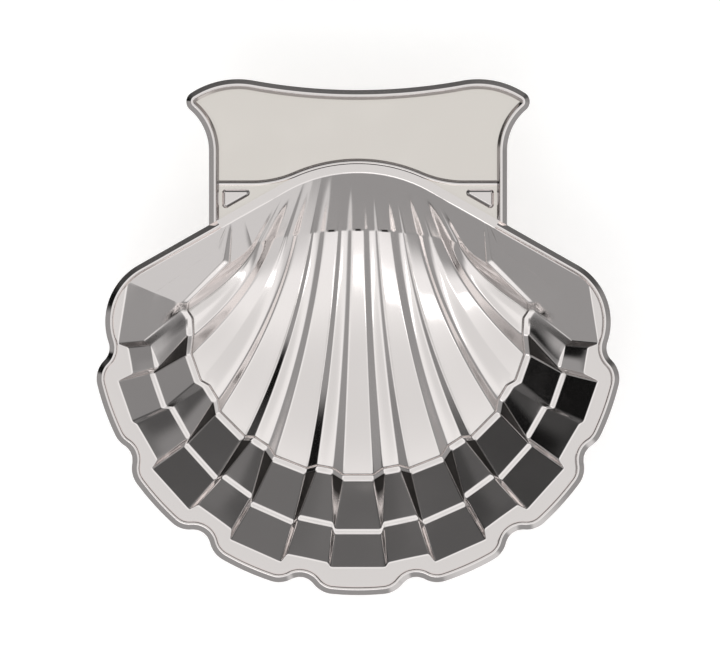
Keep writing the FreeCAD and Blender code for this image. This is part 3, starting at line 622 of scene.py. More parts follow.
def lower_fold_radius(fold_angle):
    """Bowl's centre to the lower fold: an oval, and a straight run behind the shoulder."""
    bowl = sizes_of("bowl")
    upper_in = bowl.lobe_radius - bowl.lobe_flange - bowl.upper_band - bowl.upper_ledge
    front = upper_in - bowl.lower_band_front
    side = upper_in - bowl.lower_band_side
    last = lean(bowl.shoulder_floor)
    turn = min(abs(fold_angle), last)
    oval = 1 / math.hypot(math.sin(turn) / side, math.cos(turn) / front)
    if abs(fold_angle) <= last:
        return oval
    run = bowl.shoulder_run
    return oval * math.cos(run - last) / math.cos(run - abs(fold_angle))


def rib(floor_angle, fold_angle, wall_angle, raised):
    """A rib's points below the flange's top: brow, umbo's foot, floor's pull, folds, flange."""
    bowl = sizes_of("bowl")
    flute = floor_angle / bowl.flute_pitch
    top_radius = flange_inner_radius(wall_angle, raised)
    upper_out = bowl.lobe_radius - bowl.lobe_flange - bowl.upper_band
    lower_out = lower_fold_radius(fold_angle)
    behind_shoulder = abs(floor_angle) >= bowl.shoulder_floor
    upper_angle = wall_angle
    if behind_shoulder:
        upper_angle = (fold_angle + wall_angle) / 2
        upper_out = (top_radius + lower_out) / 2
    if raised:
        upper_out -= bowl.ridge_inset_upper
        lower_out -= bowl.ridge_inset_lower
    beside_shoulder = abs(flute) > RIDGES_EACH_SIDE - 0.5
    upper_ledge = bowl.shoulder_ledge if beside_shoulder else bowl.upper_ledge
    upper_in = upper_out - upper_ledge
    lower_in = lower_out - bowl.lower_ledge
    floor_end = lower_in - bowl.fold_step / math.tan(bowl.step_slope)
    upper_depth = (top_radius - upper_out) * math.tan(bowl.upper_slope)
    lower_depth = upper_depth + (upper_in - lower_out) * math.tan(bowl.lower_slope)
    umbo_depth = bowl.umbo_depth - bowl.umbo_rise * flute**2
    if raised:
        lower_depth -= bowl.ridge_height
        umbo_depth -= bowl.ridge_height_umbo
    elif abs(flute) < 0.5:
        # The middle channel is as deep as the others, though its flange is wider.
        lower_depth += (bowl.front_flange - bowl.lobe_flange) * math.tan(bowl.upper_slope)
    if behind_shoulder:
        inside = lower_out * math.cos(diagonal_turn() - abs(fold_angle))
        lower_depth = (brow_radius() - inside) * math.tan(bowl.shoulder_slope)
        upper_depth = lower_depth / 2
    elif beside_shoulder and not raised:
        lower_depth -= bowl.shoulder_rise
    brow = polar(brow_radius(), math.pi - bowl.brow_step_angle * flute)
    umbo_y = bowl_centre().y + bowl.umbo_reach - bowl.umbo_bow * flute**2
    umbo = Vector((bowl.umbo_pitch * flute, umbo_y, -umbo_depth))
    upper_fall = bowl.upper_slope if beside_shoulder else bowl.ledge_slope
    upper_foot = upper_depth + upper_ledge * math.tan(upper_fall)
    lower_foot = lower_depth + bowl.lower_ledge * math.tan(bowl.ledge_slope)
    folds = [
        polar(floor_end, fold_angle, -lower_foot - bowl.fold_step),
        polar(lower_in, fold_angle, -lower_foot),
        polar(lower_out, fold_angle, -lower_depth),
        polar(upper_in, upper_angle, -upper_foot),
        polar(upper_out, upper_angle, -upper_depth),
        polar(top_radius, wall_angle),
    ]
    pull = (umbo + folds[0]) / 2
    pull.x = umbo.x + bowl.floor_flare * (folds[0].x - umbo.x)
    run = at_height(folds[0] - umbo, 0).length
    pull.z -= (bowl.floor_sag - bowl.floor_sag_fall * flute**2) * min(1, run / bowl.sag_run)
    return [brow, umbo, pull] + folds


def underside(points):
    """The same rib one sheet thickness below, mitred at its folds."""
    steps = [second - first for first, second in zip(points[:-1], points[1:])]
    runs = [at_height(step, 0).normalized() for step in steps]
    downs = [Vector((step.z, 0, -at_height(step, 0).length)).normalized() for step in steps]
    before = [-UP] + downs
    after = downs + [-UP]
    moved = []
    for index, point in enumerate(points):
        mitre = (before[index] + after[index]) / (1 + before[index].dot(after[index]))
        along = (runs[max(index - 1, 0)] + runs[min(index, len(runs) - 1)]).normalized()
        shift = along * mitre.x + UP * mitre.z
        moved.append(point + shift * sizes_of("bowl").sheet_thickness)
    return moved


def dish_lines(under):
    """The ribs of one skin from left to right, and the line along its right diagonal."""
    ribs = [rib(*place) for place in rib_places()]
    if under:
        ribs = [underside(line) for line in ribs]
    brow, *_, top = ribs[-1]
    return ribs, [brow.lerp(top, part) for part in DIAGONAL_SHARES]


def edge_point(turn, z, outline):
    """The flange's edge in a direction from the bowl's centre."""
    angles, radii = outline
    return polar(float(np.interp(abs(turn), angles, radii)), turn, z)


def with_flange(line, outline, crown, turn_back=0.0):
    """A line with a smooth floor, crowned bands, and the flange's edge at both ends."""
    brow, umbo, pull, *folds = line
    floor = []
    for number in range(1, FLOOR_POINTS):
        t = number / FLOOR_POINTS
        floor.append((1 - t) ** 2 * umbo + 2 * t * (1 - t) * pull + t**2 * folds[0])
    for index in BAND_ENDS:
        folds.insert(index, crowned(folds[index - 1], folds[index], crown))
    back = edge_point(polar_angle(brow) + turn_back, brow.z, outline)
    front = edge_point(polar_angle(folds[-1]) - turn_back, brow.z, outline)
    return [back, brow, umbo] + floor + folds + [front]


def crowned(start, end, crown):
    """The middle of a straight, lifted a little square to it."""
    way = (end - start).normalized()
    return (start + end) / 2 + (UP - way * way.z).normalized() * crown


def ridge_middle(left, right):
    """The line along the crown of a ridge, between its two edges."""
    share_of_width = sizes_of("bowl").ridge_crown
    pairs = list(zip(left, right))
    lifted = [crowned(a, b, share_of_width * (b - a).length) for a, b in pairs[2:-2]]
    back, brow, top, front = ((a + b) / 2 for a, b in pairs[:2] + pairs[-2:])
    return [back, brow] + lifted + [top, front]


def diagonal_edge(line, outline):
    """The flange's edge beside the line along the right diagonal, round the shoulder's corner."""
    turns = [polar_angle(point) for point in line]
    third = CORNER_SPREAD / 3
    for end, beside, step in ((0, 1, third), (-1, -2, -third)):
        turns[end] = turns[beside] + step
        turns[beside] -= step
    return [edge_point(turn, line[0].z, outline) for turn in turns]


def rounded(points, trims, fills):
    """Rounds the corners of many lines at once; the first axis runs along the lines.

    A trim is a corner's rounding, 0 for a point that stays; fills are points put on each straight.
    """
    steps = points[1:] - points[:-1]
    lengths = np.linalg.norm(steps, axis=-1, keepdims=True)
    ways = steps / np.maximum(lengths, MERGE)
    rows = [points[0]]
    leave = points[0]
    for index in range(1, len(points) - 1):
        room = BEND_LIMIT * np.minimum(lengths[index - 1], lengths[index])
        trim = np.minimum(trims[index], room)
        enter = points[index] - ways[index - 1] * trim
        depart = points[index] + ways[index] * trim
        rows += between(leave, enter, fills[index - 1])
        if trims[index]:
            bends = [((1 - s) ** 2, 2 * s * (1 - s), s**2) for s in BEND_SHARES]
            rows += [a * enter + b * points[index] + c * depart for a, b, c in bends]
        else:
            rows.append(points[index])
        leave = depart
    rows += between(leave, points[-1], fills[-1])
    rows.append(points[-1])
    return np.array(rows)


def between(start, end, count):
    """Evenly spaced points on a straight, without its ends."""
    return [start + (end - start) * number / (count + 1) for number in range(1, count + 1)]


def skin_points(under):
    """Points of one skin as a grid: along the lines, then across them."""
    bowl = sizes_of("bowl")
    outline = flange_outline()
    ribs, right = dish_lines(under)
    right = with_flange(right, outline, 0, CORNER_SPREAD)
    outer = diagonal_edge(right, outline)
    lines = []
    flutes = bowl.under_round if under else bowl.flute_round
    across_trims = [flutes] * 2
    was_raised = False
    for line, (*_, raised) in zip(ribs, rib_places()):
        line = with_flange(line, outline, bowl.band_crown)
        if raised and was_raised:
            lines.append(ridge_middle(lines[-1], line))
            across_trims.append(CROWN_ROUND)
        lines.append(line)
        across_trims.append(flutes)
        was_raised = raised
    sides = [[mirrored(point) for point in line] for line in (outer, right)]
    lines = sides + lines + [right, outer]
    across_trims += [flutes] * 2
    grid = np.array([[tuple(point) for point in line] for line in lines])
    folds = bowl.under_round if under else bowl.fold_round
    bands = [folds, CROWN_ROUND, folds] * 2
    trims = [folds] * 3 + [0] * (FLOOR_POINTS - 1) + [folds] * 2 + bands + [0]
    fills = [*BACK_FILL, *[0] * (FLOOR_POINTS + 1), *FRONT_FILL]
    along = rounded(grid.swapaxes(0, 1), trims, fills)
    across = rounded(along.swapaxes(0, 1), across_trims, [FLUTE_FILL] * len(grid))
    centre = np.array(bowl_centre())
    for rim in (across[0], across[-1], across[:, 0], across[:, -1]):
        offset = rim - centre
        turn = np.arctan2(offset[:, 0], -offset[:, 1])
        radius = np.interp(np.abs(turn), *outline)
        rim[:, 0] = centre[0] + radius * np.sin(turn)
        rim[:, 1] = centre[1] - radius * np.cos(turn)
    rows = across.swapaxes(0, 1)
    # The flange stays flat and evenly divided between its edge and the dish.
    back, front, side = (count + 2 for count in (BACK_FILL[0], FRONT_FILL[-1], FLUTE_FILL))
    for strip in (rows[:back], rows[-front:], across[:side], across[-side:]):
        shares = np.linspace(0, 1, len(strip))[:, None, None]
        strip[:] = strip[0] + (strip[-1] - strip[0]) * shares
    across[..., 2] += FLANGE_TOP
    return across


# Small modelling helpers on the active object.
def start_piece():
    """Leaves nothing selected, so that what is added next stands alone."""
    if bpy.context.mode != "OBJECT":
        bpy.ops.object.mode_set(mode="OBJECT")
    bpy.ops.object.select_all(action="DESELECT")


def edit():
    bpy.ops.object.mode_set(mode="EDIT")


def leave_edit():
    bpy.ops.object.mode_set(mode="OBJECT")


def select_all():
    bpy.ops.mesh.select_all(action="SELECT")


def extrude(move):
    bpy.ops.mesh.extrude_region_move(TRANSFORM_OT_translate={"value": move})


def cut(place, way, **clear):
    """Cuts the whole mesh by a plane, clears one side and closes the cut, in edit mode."""
    select_all()
    bpy.ops.mesh.bisect(plane_co=place, plane_no=way, use_fill=True, threshold=MERGE, **clear)


def settle():
    """Puts the active object's place into its mesh."""
    bpy.ops.object.transform_apply(location=True, rotation=True, scale=True)
    return bpy.context.active_object


def pick(test):
    """Selects the points whose place passes a test, in edit mode."""
    bpy.ops.mesh.select_all(action="DESELECT")
    leave_edit()
    for vertex in bpy.context.active_object.data.vertices:
        vertex.select = bool(test(vertex.co))
    edit()


def apply_modifier(kind, **settings):
    """Adds a modifier to the active object, sets it and applies it."""
    bpy.ops.object.modifier_add(type=kind)
    modifier = bpy.context.active_object.modifiers[-1]
    for name, value in settings.items():
        setattr(modifier, name, value)
    bpy.ops.object.modifier_apply(modifier=modifier.name)


def close_mesh():
    """Merges doubles, turns every face outwards and leaves edit mode."""
    select_all()
    bpy.ops.mesh.remove_doubles(threshold=MERGE)
    bpy.ops.mesh.normals_make_consistent(inside=False)
    leave_edit()


def keep_values(piece, name, values):
    """Keeps a level from 0 to 1 at each point, for the silver to follow."""
    attribute = piece.data.attributes.new(name, "FLOAT", "POINT")
    attribute.data.foreach_set("value", np.clip(values, 0, 1).astype(np.float32))


def at_points(piece, what):
    """The place or the normal of each point, as rows of three numbers."""
    values = np.empty(len(piece.data.vertices) * 3, np.float32)
    piece.data.vertices.foreach_get(what, values)
    return values.reshape(-1, 3)


def heights(piece):
    return at_points(piece, "co")[:, 2]


def tarnish_and_shade(piece, most, level, reach):
    """Keeps tarnish with painted shade, strongest at a level and fading over a reach, up or down
    from it.
    """
    keep_values(piece, "corner_tarnish_and_shade", most - (heights(piece) - level) / reach)


def finish_piece(name, node, slot, smooth=35):
    """Shades the active object, gives it its silver and seats it in the frame."""
    piece = bpy.context.active_object
    piece.name = name
    piece.data.name = name
    bpy.ops.object.shade_smooth_by_angle(angle=math.radians(smooth))
    apply_modifier("WEIGHTED_NORMAL", keep_sharp=True, weight=100)
    piece.data.materials.clear()
    piece.data.materials.append(silver(slot))
    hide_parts(node)
    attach(piece, BODY)
    return piece


def add_point(place):
    """A single point in edit mode, to be traced along a path."""
    start_piece()
    bpy.ops.mesh.primitive_plane_add(size=MM, location=place)
    settle()
    edit()
    bpy.ops.mesh.merge(type="CENTER")


def add_section(start, width, crest, height, base):
    """A ridge's section, square to +X: its crest leans off the middle over sides that reach a base.

    crest is the distance from the section's front edge, towards -Y, to its crest.
    """
    start_piece()
    bpy.ops.mesh.primitive_circle_add(
        vertices=SECTION_POINTS, radius=width / 2, location=start, rotation=(0, math.pi / 2, 0)
    )
    section = settle()
    for vertex in section.data.vertices:
        if vertex.co.z < start.z - MERGE:
            vertex.co.z = base
            continue
        aside = vertex.co.y - start.y + width / 2 - crest
        run = crest if aside < 0 else width - crest
        vertex.co.z = start.z + height * (1 - crest_fall(aside) / crest_fall(run))
    edit()
    select_all()


def crest_fall(aside):
    """How far a moulding falls away beside its flat crest, up to a scale."""
    wires = sizes_of("wire")
    past = max(abs(aside) - wires.crest_width / 2, 0)
    return math.hypot(past, wires.crest_round) - wires.crest_round


def trace(start, steps):
    """Runs the selected section or point along a flat path, by spins and extrusions."""
    place = start
    for centre, move in steps:
        if centre is None:
            extrude(move)
            place = place + move
            continue
        bpy.ops.mesh.spin(
            steps=arc_count(place - centre, move),
            angle=SPIN_SENSE * move,
            center=at_height(centre, start.z),
            axis=UP,
        )
        place = at_height(points_along(at_height(place, 0), [(centre, move)])[-1], start.z)


def swept_half(start, steps, section, base):
    """A moulding's right half: its section run along a path and closed at the far end."""
    add_section(start, *section, base)
    trace(start, steps)
    bpy.ops.mesh.edge_face_add()


def mirror_whole():
    """Mirrors the right half and closes the mesh."""
    leave_edit()
    apply_modifier("MIRROR", use_clip=True, use_mirror_merge=True, merge_threshold=MERGE)
    edit()
    close_mesh()


def handle_plan(inset):
    """Start and steps of the handle's right edge, from the dip to the end of the flare."""
    handle = sizes_of("handle")
    centre = bowl_centre()
    top = centre.y + handle.reach
    crest_centre = Vector((handle.crest_offset, top - handle.crest_curve, 0))
    both = (handle.crest_offset**2 + handle.dip_depth**2) / (2 * handle.dip_depth)
    dip_curve = both - handle.crest_curve
    dip_centre = Vector((0, top - handle.dip_depth + dip_curve, 0))
    flare_centre = Vector((handle.half_width + handle.flare_curve, centre.y + handle.side_top, 0))
    corner_centre = circle_crossing(
        crest_centre,
        handle.crest_curve - handle.corner_curve,
        flare_centre,
        handle.flare_curve + handle.corner_curve,
    )
    dip = dip_centre - Vector((0, dip_curve + inset, 0))
    crest_in = toward(crest_centre, dip_centre, handle.crest_curve - inset)
    crest_out = toward(crest_centre, corner_centre, handle.crest_curve - inset)
    flare_top = toward(corner_centre, flare_centre, handle.corner_curve - inset)
    flare_foot = flare_centre - Vector((handle.flare_curve + inset, 0, 0))
    steps = [
        arc_step(dip_centre, dip, crest_in),
        arc_step(crest_centre, crest_in, crest_out),
        arc_step(corner_centre, crest_out, flare_top),
        arc_step(flare_centre, flare_top, flare_foot),
    ]
    return dip, steps, flare_foot


def circle_crossing(first, first_radius, second, second_radius):
    """The crossing of two circles that lies nearer the handle's top."""
    gap = second - first
    along = (first_radius**2 - second_radius**2 + gap.length_squared) / (2 * gap.length)
    aside = math.sqrt(first_radius**2 - along**2)
    return first + gap.normalized() * along + Vector((-gap.y, gap.x, 0)).normalized() * aside


# Shader expressions.
class Value:
    """A node's output; Python's arithmetic on it adds Math nodes."""

    def __init__(self, shader, socket):
        self.shader = shader
        self.socket = socket

    def __add__(self, other):
        return self.shader.math("ADD", self, other)

    def __sub__(self, other):
        return self.shader.math("SUBTRACT", self, other)

    def __rsub__(self, other):
        return self.shader.math("SUBTRACT", other, self)

    def __mul__(self, other):
        return self.shader.math("MULTIPLY", self, other)

    __radd__ = __add__


class Shader:
    """A node tree that is written as expressions."""

    def __init__(self, tree):
        self.tree = tree
        self.tree.nodes.clear()

    def node(self, kind, settings=None, inputs=None, output=0):
        """Adds a node, makes its settings, then sets or links its sockets."""
        node = self.tree.nodes.new(kind)
        for name, value in (settings or {}).items():
            setattr(node, name, value)
        for name, value in (inputs or {}).items():
            if isinstance(value, Value):
                self.tree.links.new(value.socket, node.inputs[name])
            else:
                node.inputs[name].default_value = value
        return Value(self, node.outputs[output]) if node.outputs else None

    def math(self, operation, first, second):
        return self.node("ShaderNodeMath", {"operation": operation}, {0: first, 1: second})

    def step(self, value, low, high):
        """A smooth step from 0 at low to 1 at high."""
        settings = {"interpolation_type": "SMOOTHSTEP"}
        return self.node("ShaderNodeMapRange", settings, {"Value": value, 1: low, 2: high})

    def mix(self, factor, first, second):
        """A mix of two colours."""
        inputs = {0: factor, 6: opaque(first), 7: opaque(second)}
        return self.node("ShaderNodeMix", {"data_type": "RGBA"}, inputs, output=2)

    def noise(self, vector, scale, detail):
        inputs = {"Vector": vector, "Scale": scale, "Detail": detail}
        return self.node("ShaderNodeTexNoise", {"noise_dimensions": "3D"}, inputs)

    def stretched(self, vector, scale):
        """Coordinates scaled along each axis."""
        return self.node("ShaderNodeMapping", None, {"Vector": vector, "Scale": scale})


def opaque(colour):
    """A colour with its alpha, or a link as it is."""
    return colour if isinstance(colour, Value) else (*colour, 1.0)


def blend(first, second, factor):
    """A level that goes from the first to the second as the factor goes from 0 to 1."""
    return first + factor * (second - first)


def new_material(name):
    """A new material, and the shader to write its nodes with."""
    material = bpy.data.materials.new(name)
    material.use_nodes = True
    return material, Shader(material.node_tree)


def silver(slot):
    """Silver plate: smudges, fine polishing lines, tarnish with painted shade in the corners, and
    black painted shade.
    """
    name = slot + "_plate"
    if name in bpy.data.materials:
        return bpy.data.materials[name]
    finish = bpy.context.scene.shell_silver_finish
    colour, roughness, lines = SILVERS[slot]
    material, shader = new_material(name)
    place = shader.node("ShaderNodeTexCoord", output="Object")
    smudges = shader.noise(place, *SMUDGES)
    specks = shader.noise(place, *SPECKS)
    corner_tarnish_and_shade, painted_shade = (
        shader.node("ShaderNodeAttribute", {"attribute_name": kept}, output="Fac")
        for kept in ("corner_tarnish_and_shade", "painted_shade")
    )
    # Tarnish with painted shade, strongest in the hollows and at the feet of wires and seats.
    tarnish_and_shade_bloom = shader.step(corner_tarnish_and_shade * blend(*TARNISH_AND_SHADE_SPECKS, specks), *TARNISH_AND_SHADE_COMES)
    shade = shader.mix(tarnish_and_shade_bloom * TARNISH_AND_SHADE_MOST, getattr(finish, colour), finish.tarnish_and_shade)
    # Near-black painted shade and dark reflections, where the second kept level is set.
    shade = shader.mix(painted_shade, shade, finish.painted_shade)
    dulled = shader.step(smudges, *SMUDGE_COMES) * finish.smudge
    rough = getattr(finish, roughness) + dulled + specks * SPECK_ROUGHNESS
    rough = rough + tarnish_and_shade_bloom * TARNISH_AND_SHADE_ROUGHNESS + painted_shade * PAINTED_SHADE_ROUGHNESS
    scratches = shader.noise(shader.stretched(place, lines), *LINES)
    inputs = {"Height": scratches, "Strength": finish.scratch, "Distance": LINE_DEPTH}
    normal = shader.node("ShaderNodeBump", None, inputs)
    inputs = {"Base Color": shade, "Metallic": 1.0, "Roughness": rough, "Normal": normal}
    surface = shader.node("ShaderNodeBsdfPrincipled", None, inputs)
    shader.node("ShaderNodeOutputMaterial", None, {"Surface": surface})
    return material


# Operators, one for each piece or group of like pieces.
class SHELL_OT_bowl(bpy.types.Operator):
    """Model the fluted bowl with its flange"""

    bl_idname = "shell.bowl"
    bl_label = "Fluted Bowl"

    def execute(self, context):
        upper = self.skin(False)
        self.skin(True)
        upper.select_set(True)
        context.view_layer.objects.active = upper
        bpy.ops.object.join()
        edit()
        select_all()
        bpy.ops.mesh.remove_doubles(threshold=MERGE)
        bpy.ops.mesh.select_all(action="DESELECT")
        bpy.ops.mesh.select_non_manifold()
        bpy.ops.mesh.bridge_edge_loops()
        close_mesh()
        finish_piece("fluted_bowl", "shell_bowl", "bowl_silver", smooth=60)
        return {"FINISHED"}

    def skin(self, under):
        """One skin of the sheet as a grid, with its tarnish and painted shade, and its black
        painted shade, kept on its points.
        """
        points = skin_points(under)
        columns, rows = points.shape[:2]
        start_piece()
        bpy.ops.mesh.primitive_grid_add(
            x_subdivisions=rows - 1, y_subdivisions=columns - 1, size=1
        )
        piece = bpy.context.active_object
        piece.data.vertices.foreach_set("co", points.reshape(-1).astype(np.float32))
        # Tarnish with painted shade in the sheet's hollows and creases.
        keep_values(piece, "corner_tarnish_and_shade", hollows(points, under))
        # Painted dark reflections and shade marks, on the upper skin only.
        if not under:
            keep_values(piece, "painted_shade", painted_shade_marks(points))
        return piece


def hollows(skin, under):
    """How sharply the sheet turns up at each point, spread a little to both sides."""
    depth = np.zeros(skin.shape[:2])
    for axis in (0, 1):
        steps = np.diff(skin, axis=axis)
        ways = steps / np.maximum(np.linalg.norm(steps, axis=-1, keepdims=True), MERGE)
        turns = np.diff(ways[..., 2], axis=axis) * (-1 if under else 1)
        inner = [slice(None), slice(None)]
        inner[axis] = slice(1, -1)
        depth[tuple(inner)] += np.clip(turns - HOLLOW_LEAST, 0, None) * HOLLOW_GAIN
    for axis in (0, 1):
        beside = np.roll(depth, 1, axis) + np.roll(depth, -1, axis)
        depth = np.maximum(depth, beside * HOLLOW_SPREAD)
    return depth.reshape(-1)


def painted_shade_marks(skin):
    """Where shade is painted: dark reflections on the ridges' flanks in the lower wall band, and
    shade marks in the crease at the umbo's foot.
    """
    bowl = sizes_of("bowl")
    band = skin[:, LOWER_BAND]
    steps = np.diff(band, axis=0)
    tilts = np.abs(steps[..., 2]) / np.maximum(np.linalg.norm(steps, axis=-1), MERGE)
    turns = np.abs(np.arctan2(band[1:, :, 0], bowl_centre().y - band[1:, :, 1]))
    inside = turns < bowl.shoulder_floor
    dark = np.zeros(skin.shape[:2])
    # Painted dark reflection on flanks that tilt sideways.
    dark[1:, LOWER_BAND] = np.clip((tilts - FLANK_TILT) / FLANK_TILT, 0, 1) * inside
    flutes = skin[:, UMBO_FOOT, 0] / bowl.umbo_pitch
    middle = np.round(flutes)
    near = np.abs(flutes - middle) < UMBO_MARK
    # Painted shade marks in the crease at the umbo's foot.
    dark[:, UMBO_FOOT] = near & (np.abs(middle) <= UMBO_MARKS_EACH_SIDE)
    return dark.reshape(-1)


class SHELL_OT_rim_wire(bpy.types.Operator):
    """Model the ridged wire on the bowl's scalloped rim"""

    bl_idname = "shell.rim_wire"
    bl_label = "Rim Wire"

    def execute(self, context):
        wires, handle = map(sizes_of, ("wire", "handle"))
        inset = wires.rim_width / 2
        start, steps, shoulder_end = rim_path(inset)
        foot = diagonal_at(handle.half_width - wires.border_width, inset)
        steps.append(run_step(shoulder_end, foot))
        section = (wires.rim_width, wires.rim_crest, wires.rim_height)
        swept_half(at_height(start, FLANGE_TOP), steps, section, FLANGE_TOP)
        mirror_whole()
        piece = finish_piece("rim_wire", "bowl_rim_wire", "wire_silver")
        # Tarnish with painted shade at the wire's foot on the flange.
        tarnish_and_shade(piece, WIRE_TARNISH_AND_SHADE, FLANGE_TOP, wires.rim_height / 2)
        return {"FINISHED"}


class SHELL_OT_handle_plate(bpy.types.Operator):
    """Model the flat flared handle plate"""

    bl_idname = "shell.handle_plate"
    bl_label = "Handle Plate"

    def execute(self, context):
        bowl, handle = map(sizes_of, ("bowl", "handle"))
        start, steps, flare_foot = handle_plan(0)
        lap_radius = bowl.back_radius - handle.lap
        side_foot = diagonal_at(handle.half_width, handle.lap)
        lap_corner = bowl_centre() + diagonal_out() * lap_radius
        lap_middle = bowl_centre() + Vector((0, lap_radius, 0))
        steps.append(run_step(flare_foot, side_foot))
        steps.append(run_step(side_foot, lap_corner))
        steps.append(arc_step(bowl_centre(), lap_corner, lap_middle))
        top = at_height(start, flange_under())
        add_point(top)
        trace(top, steps)
        select_all()
        bpy.ops.mesh.edge_face_add()
        extrude(UP * -handle.plate_thickness)
        pick(lambda point: abs(point.x) < MERGE)
        bpy.ops.mesh.delete(type="ONLY_FACE")
        mirror_whole()
        apply_modifier(
            "BEVEL", width=handle.edge_round, segments=3, limit_method="ANGLE", harden_normals=False
        )
        finish_piece("handle_panel", "handle_plate", "panel_silver")
        return {"FINISHED"}


class SHELL_OT_handle_border(bpy.types.Operator):
    """Model the raised moulding round the handle"""

    bl_idname = "shell.handle_border"
    bl_label = "Handle Border"

    def execute(self, context):
        bowl, wires, handle = map(sizes_of, ("bowl", "wire", "handle"))
        start, steps, flare_foot = handle_plan(wires.border_width / 2)
        foot_y = diagonal_at(handle.half_width, wires.border_width).y
        steps.append(run_step(flare_foot, Vector((flare_foot.x, foot_y, 0))))
        base = flange_under()
        spring = base + bowl.sheet_thickness
        width = wires.border_width
        section = (width, width - wires.border_crest, wires.rim_height)
        swept_half(at_height(start, spring), steps, section, base)
        cut(diagonal_at(0, 0), diagonal_out(), clear_inner=True)
        mirror_whole()
        piece = finish_piece("handle_moulding", "handle_border", "wire_silver")
        # Tarnish with painted shade at the moulding's foot on the plate.
        tarnish_and_shade(piece, MOULDING_TARNISH_AND_SHADE, base, spring - base)
        return {"FINISHED"}


class SHELL_OT_brow_wire(bpy.types.Operator):
    """Model the wire along the brow"""

    bl_idname = "shell.brow_wire"
    bl_label = "Brow Wire"

    def execute(self, context):
        bowl, wires, handle = map(sizes_of, ("bowl", "wire", "handle"))
        centre = bowl_centre()
        radius = bowl.back_radius + wires.brow_width / 2
        level = bowl.back_radius - wires.brow_drop
        rise = level + wires.brow_sweep
        sweep_x = math.sqrt((radius + wires.brow_sweep) ** 2 - rise**2)
        sweep_centre = centre + Vector((sweep_x, rise, 0))
        start = centre + Vector((0, radius, 0))
        turn = toward(centre, sweep_centre, radius)
        flat = Vector((sweep_x, centre.y + level, 0))
        end = Vector((handle.half_width - wires.border_width, flat.y, 0))
        steps = [
            arc_step(centre, start, turn),
            arc_step(sweep_centre, turn, flat),
            run_step(flat, end),
        ]
        base = flange_under()
        section = (wires.brow_width, wires.brow_crest, wires.brow_height)
        swept_half(at_height(start, base), steps, section, base)
        mirror_whole()
        piece = finish_piece("brow_line", "brow_wire", "wire_silver")
        # Tarnish with painted shade at the brow wire's foot.
        tarnish_and_shade(piece, WIRE_TARNISH_AND_SHADE, base, wires.brow_height / 2)
        # Painted shade on the brow wire's side that faces the panel.
        backward = at_points(piece, "normal")[:, 1]
        keep_values(piece, "painted_shade", np.clip(backward * BROW_PAINTED_SHADE_GAIN, 0, wires.brow_painted_shade))
        return {"FINISHED"}


class SHELL_OT_ear_drops(bpy.types.Operator):
    """Model the rounded triangles in the handle's ears"""

    bl_idname = "shell.ear_drops"
    bl_label = "Ear Drops"

    def execute(self, context):
        bowl, wires, handle = map(sizes_of, ("bowl", "wire", "handle"))
        centre = bowl_centre()
        side = handle.half_width - wires.border_width - handle.drop_margin
        level = bowl.back_radius - wires.brow_drop - wires.brow_width / 2 - handle.drop_margin
        out = diagonal_out()
        inner = (bowl.back_radius + handle.drop_gap - out.y * level) / out.x
        corners = [
            Vector((side, centre.y + level, 0)),
            Vector((inner, centre.y + level, 0)),
            diagonal_at(side, -handle.drop_gap),
        ]
        start, steps = rounded_triangle(corners, handle.drop_corner)
        base = flange_under()
        add_point(at_height(start, base))
        trace(at_height(start, base), steps)
        select_all()
        bpy.ops.mesh.remove_doubles(threshold=MERGE)
        bpy.ops.mesh.edge_face_add()
        extrude(UP * (handle.drop_height * DROP_FOOT))
        for run, rise in DROP_INSETS:
            bpy.ops.mesh.inset(
                thickness=handle.drop_slope * run, depth=handle.drop_height * rise
            )
        close_mesh()
        right = bpy.context.active_object
        bpy.ops.object.duplicate()
        left = bpy.context.active_object
        bpy.ops.transform.resize(value=(-1, 1, 1), center_override=(0, 0, 0))
        settle()
        edit()
        close_mesh()
        for piece, ear in ((left, "left"), (right, "right")):
            start_piece()
            piece.select_set(True)
            context.view_layer.objects.active = piece
            finish_piece(ear + "_ear_drop", "ear_drop_" + ear, "wire_silver")
            # Tarnish with painted shade at the drop's foot.
            tarnish_and_shade(piece, MOULDING_TARNISH_AND_SHADE, base, handle.drop_height / 2)
        return {"FINISHED"}


def rounded_triangle(corners, radius):
    """Start and steps of a closed path round a triangle with rounded corners."""
    joins = []
    for index, corner in enumerate(corners):
        back = (corners[index - 1] - corner).normalized()
        onward = (corners[(index + 1) % 3] - corner).normalized()
        half = back.angle(onward) / 2
        centre = corner + (back + onward).normalized() * (radius / math.sin(half))
        reach = radius / math.tan(half)
        joins.append((corner + back * reach, corner + onward * reach, centre))
    steps = []
    for index, (enter, depart, centre) in enumerate(joins):
        steps.append(arc_step(centre, enter, depart))
        steps.append(run_step(depart, joins[(index + 1) % 3][0]))
    return joins[0][0], steps


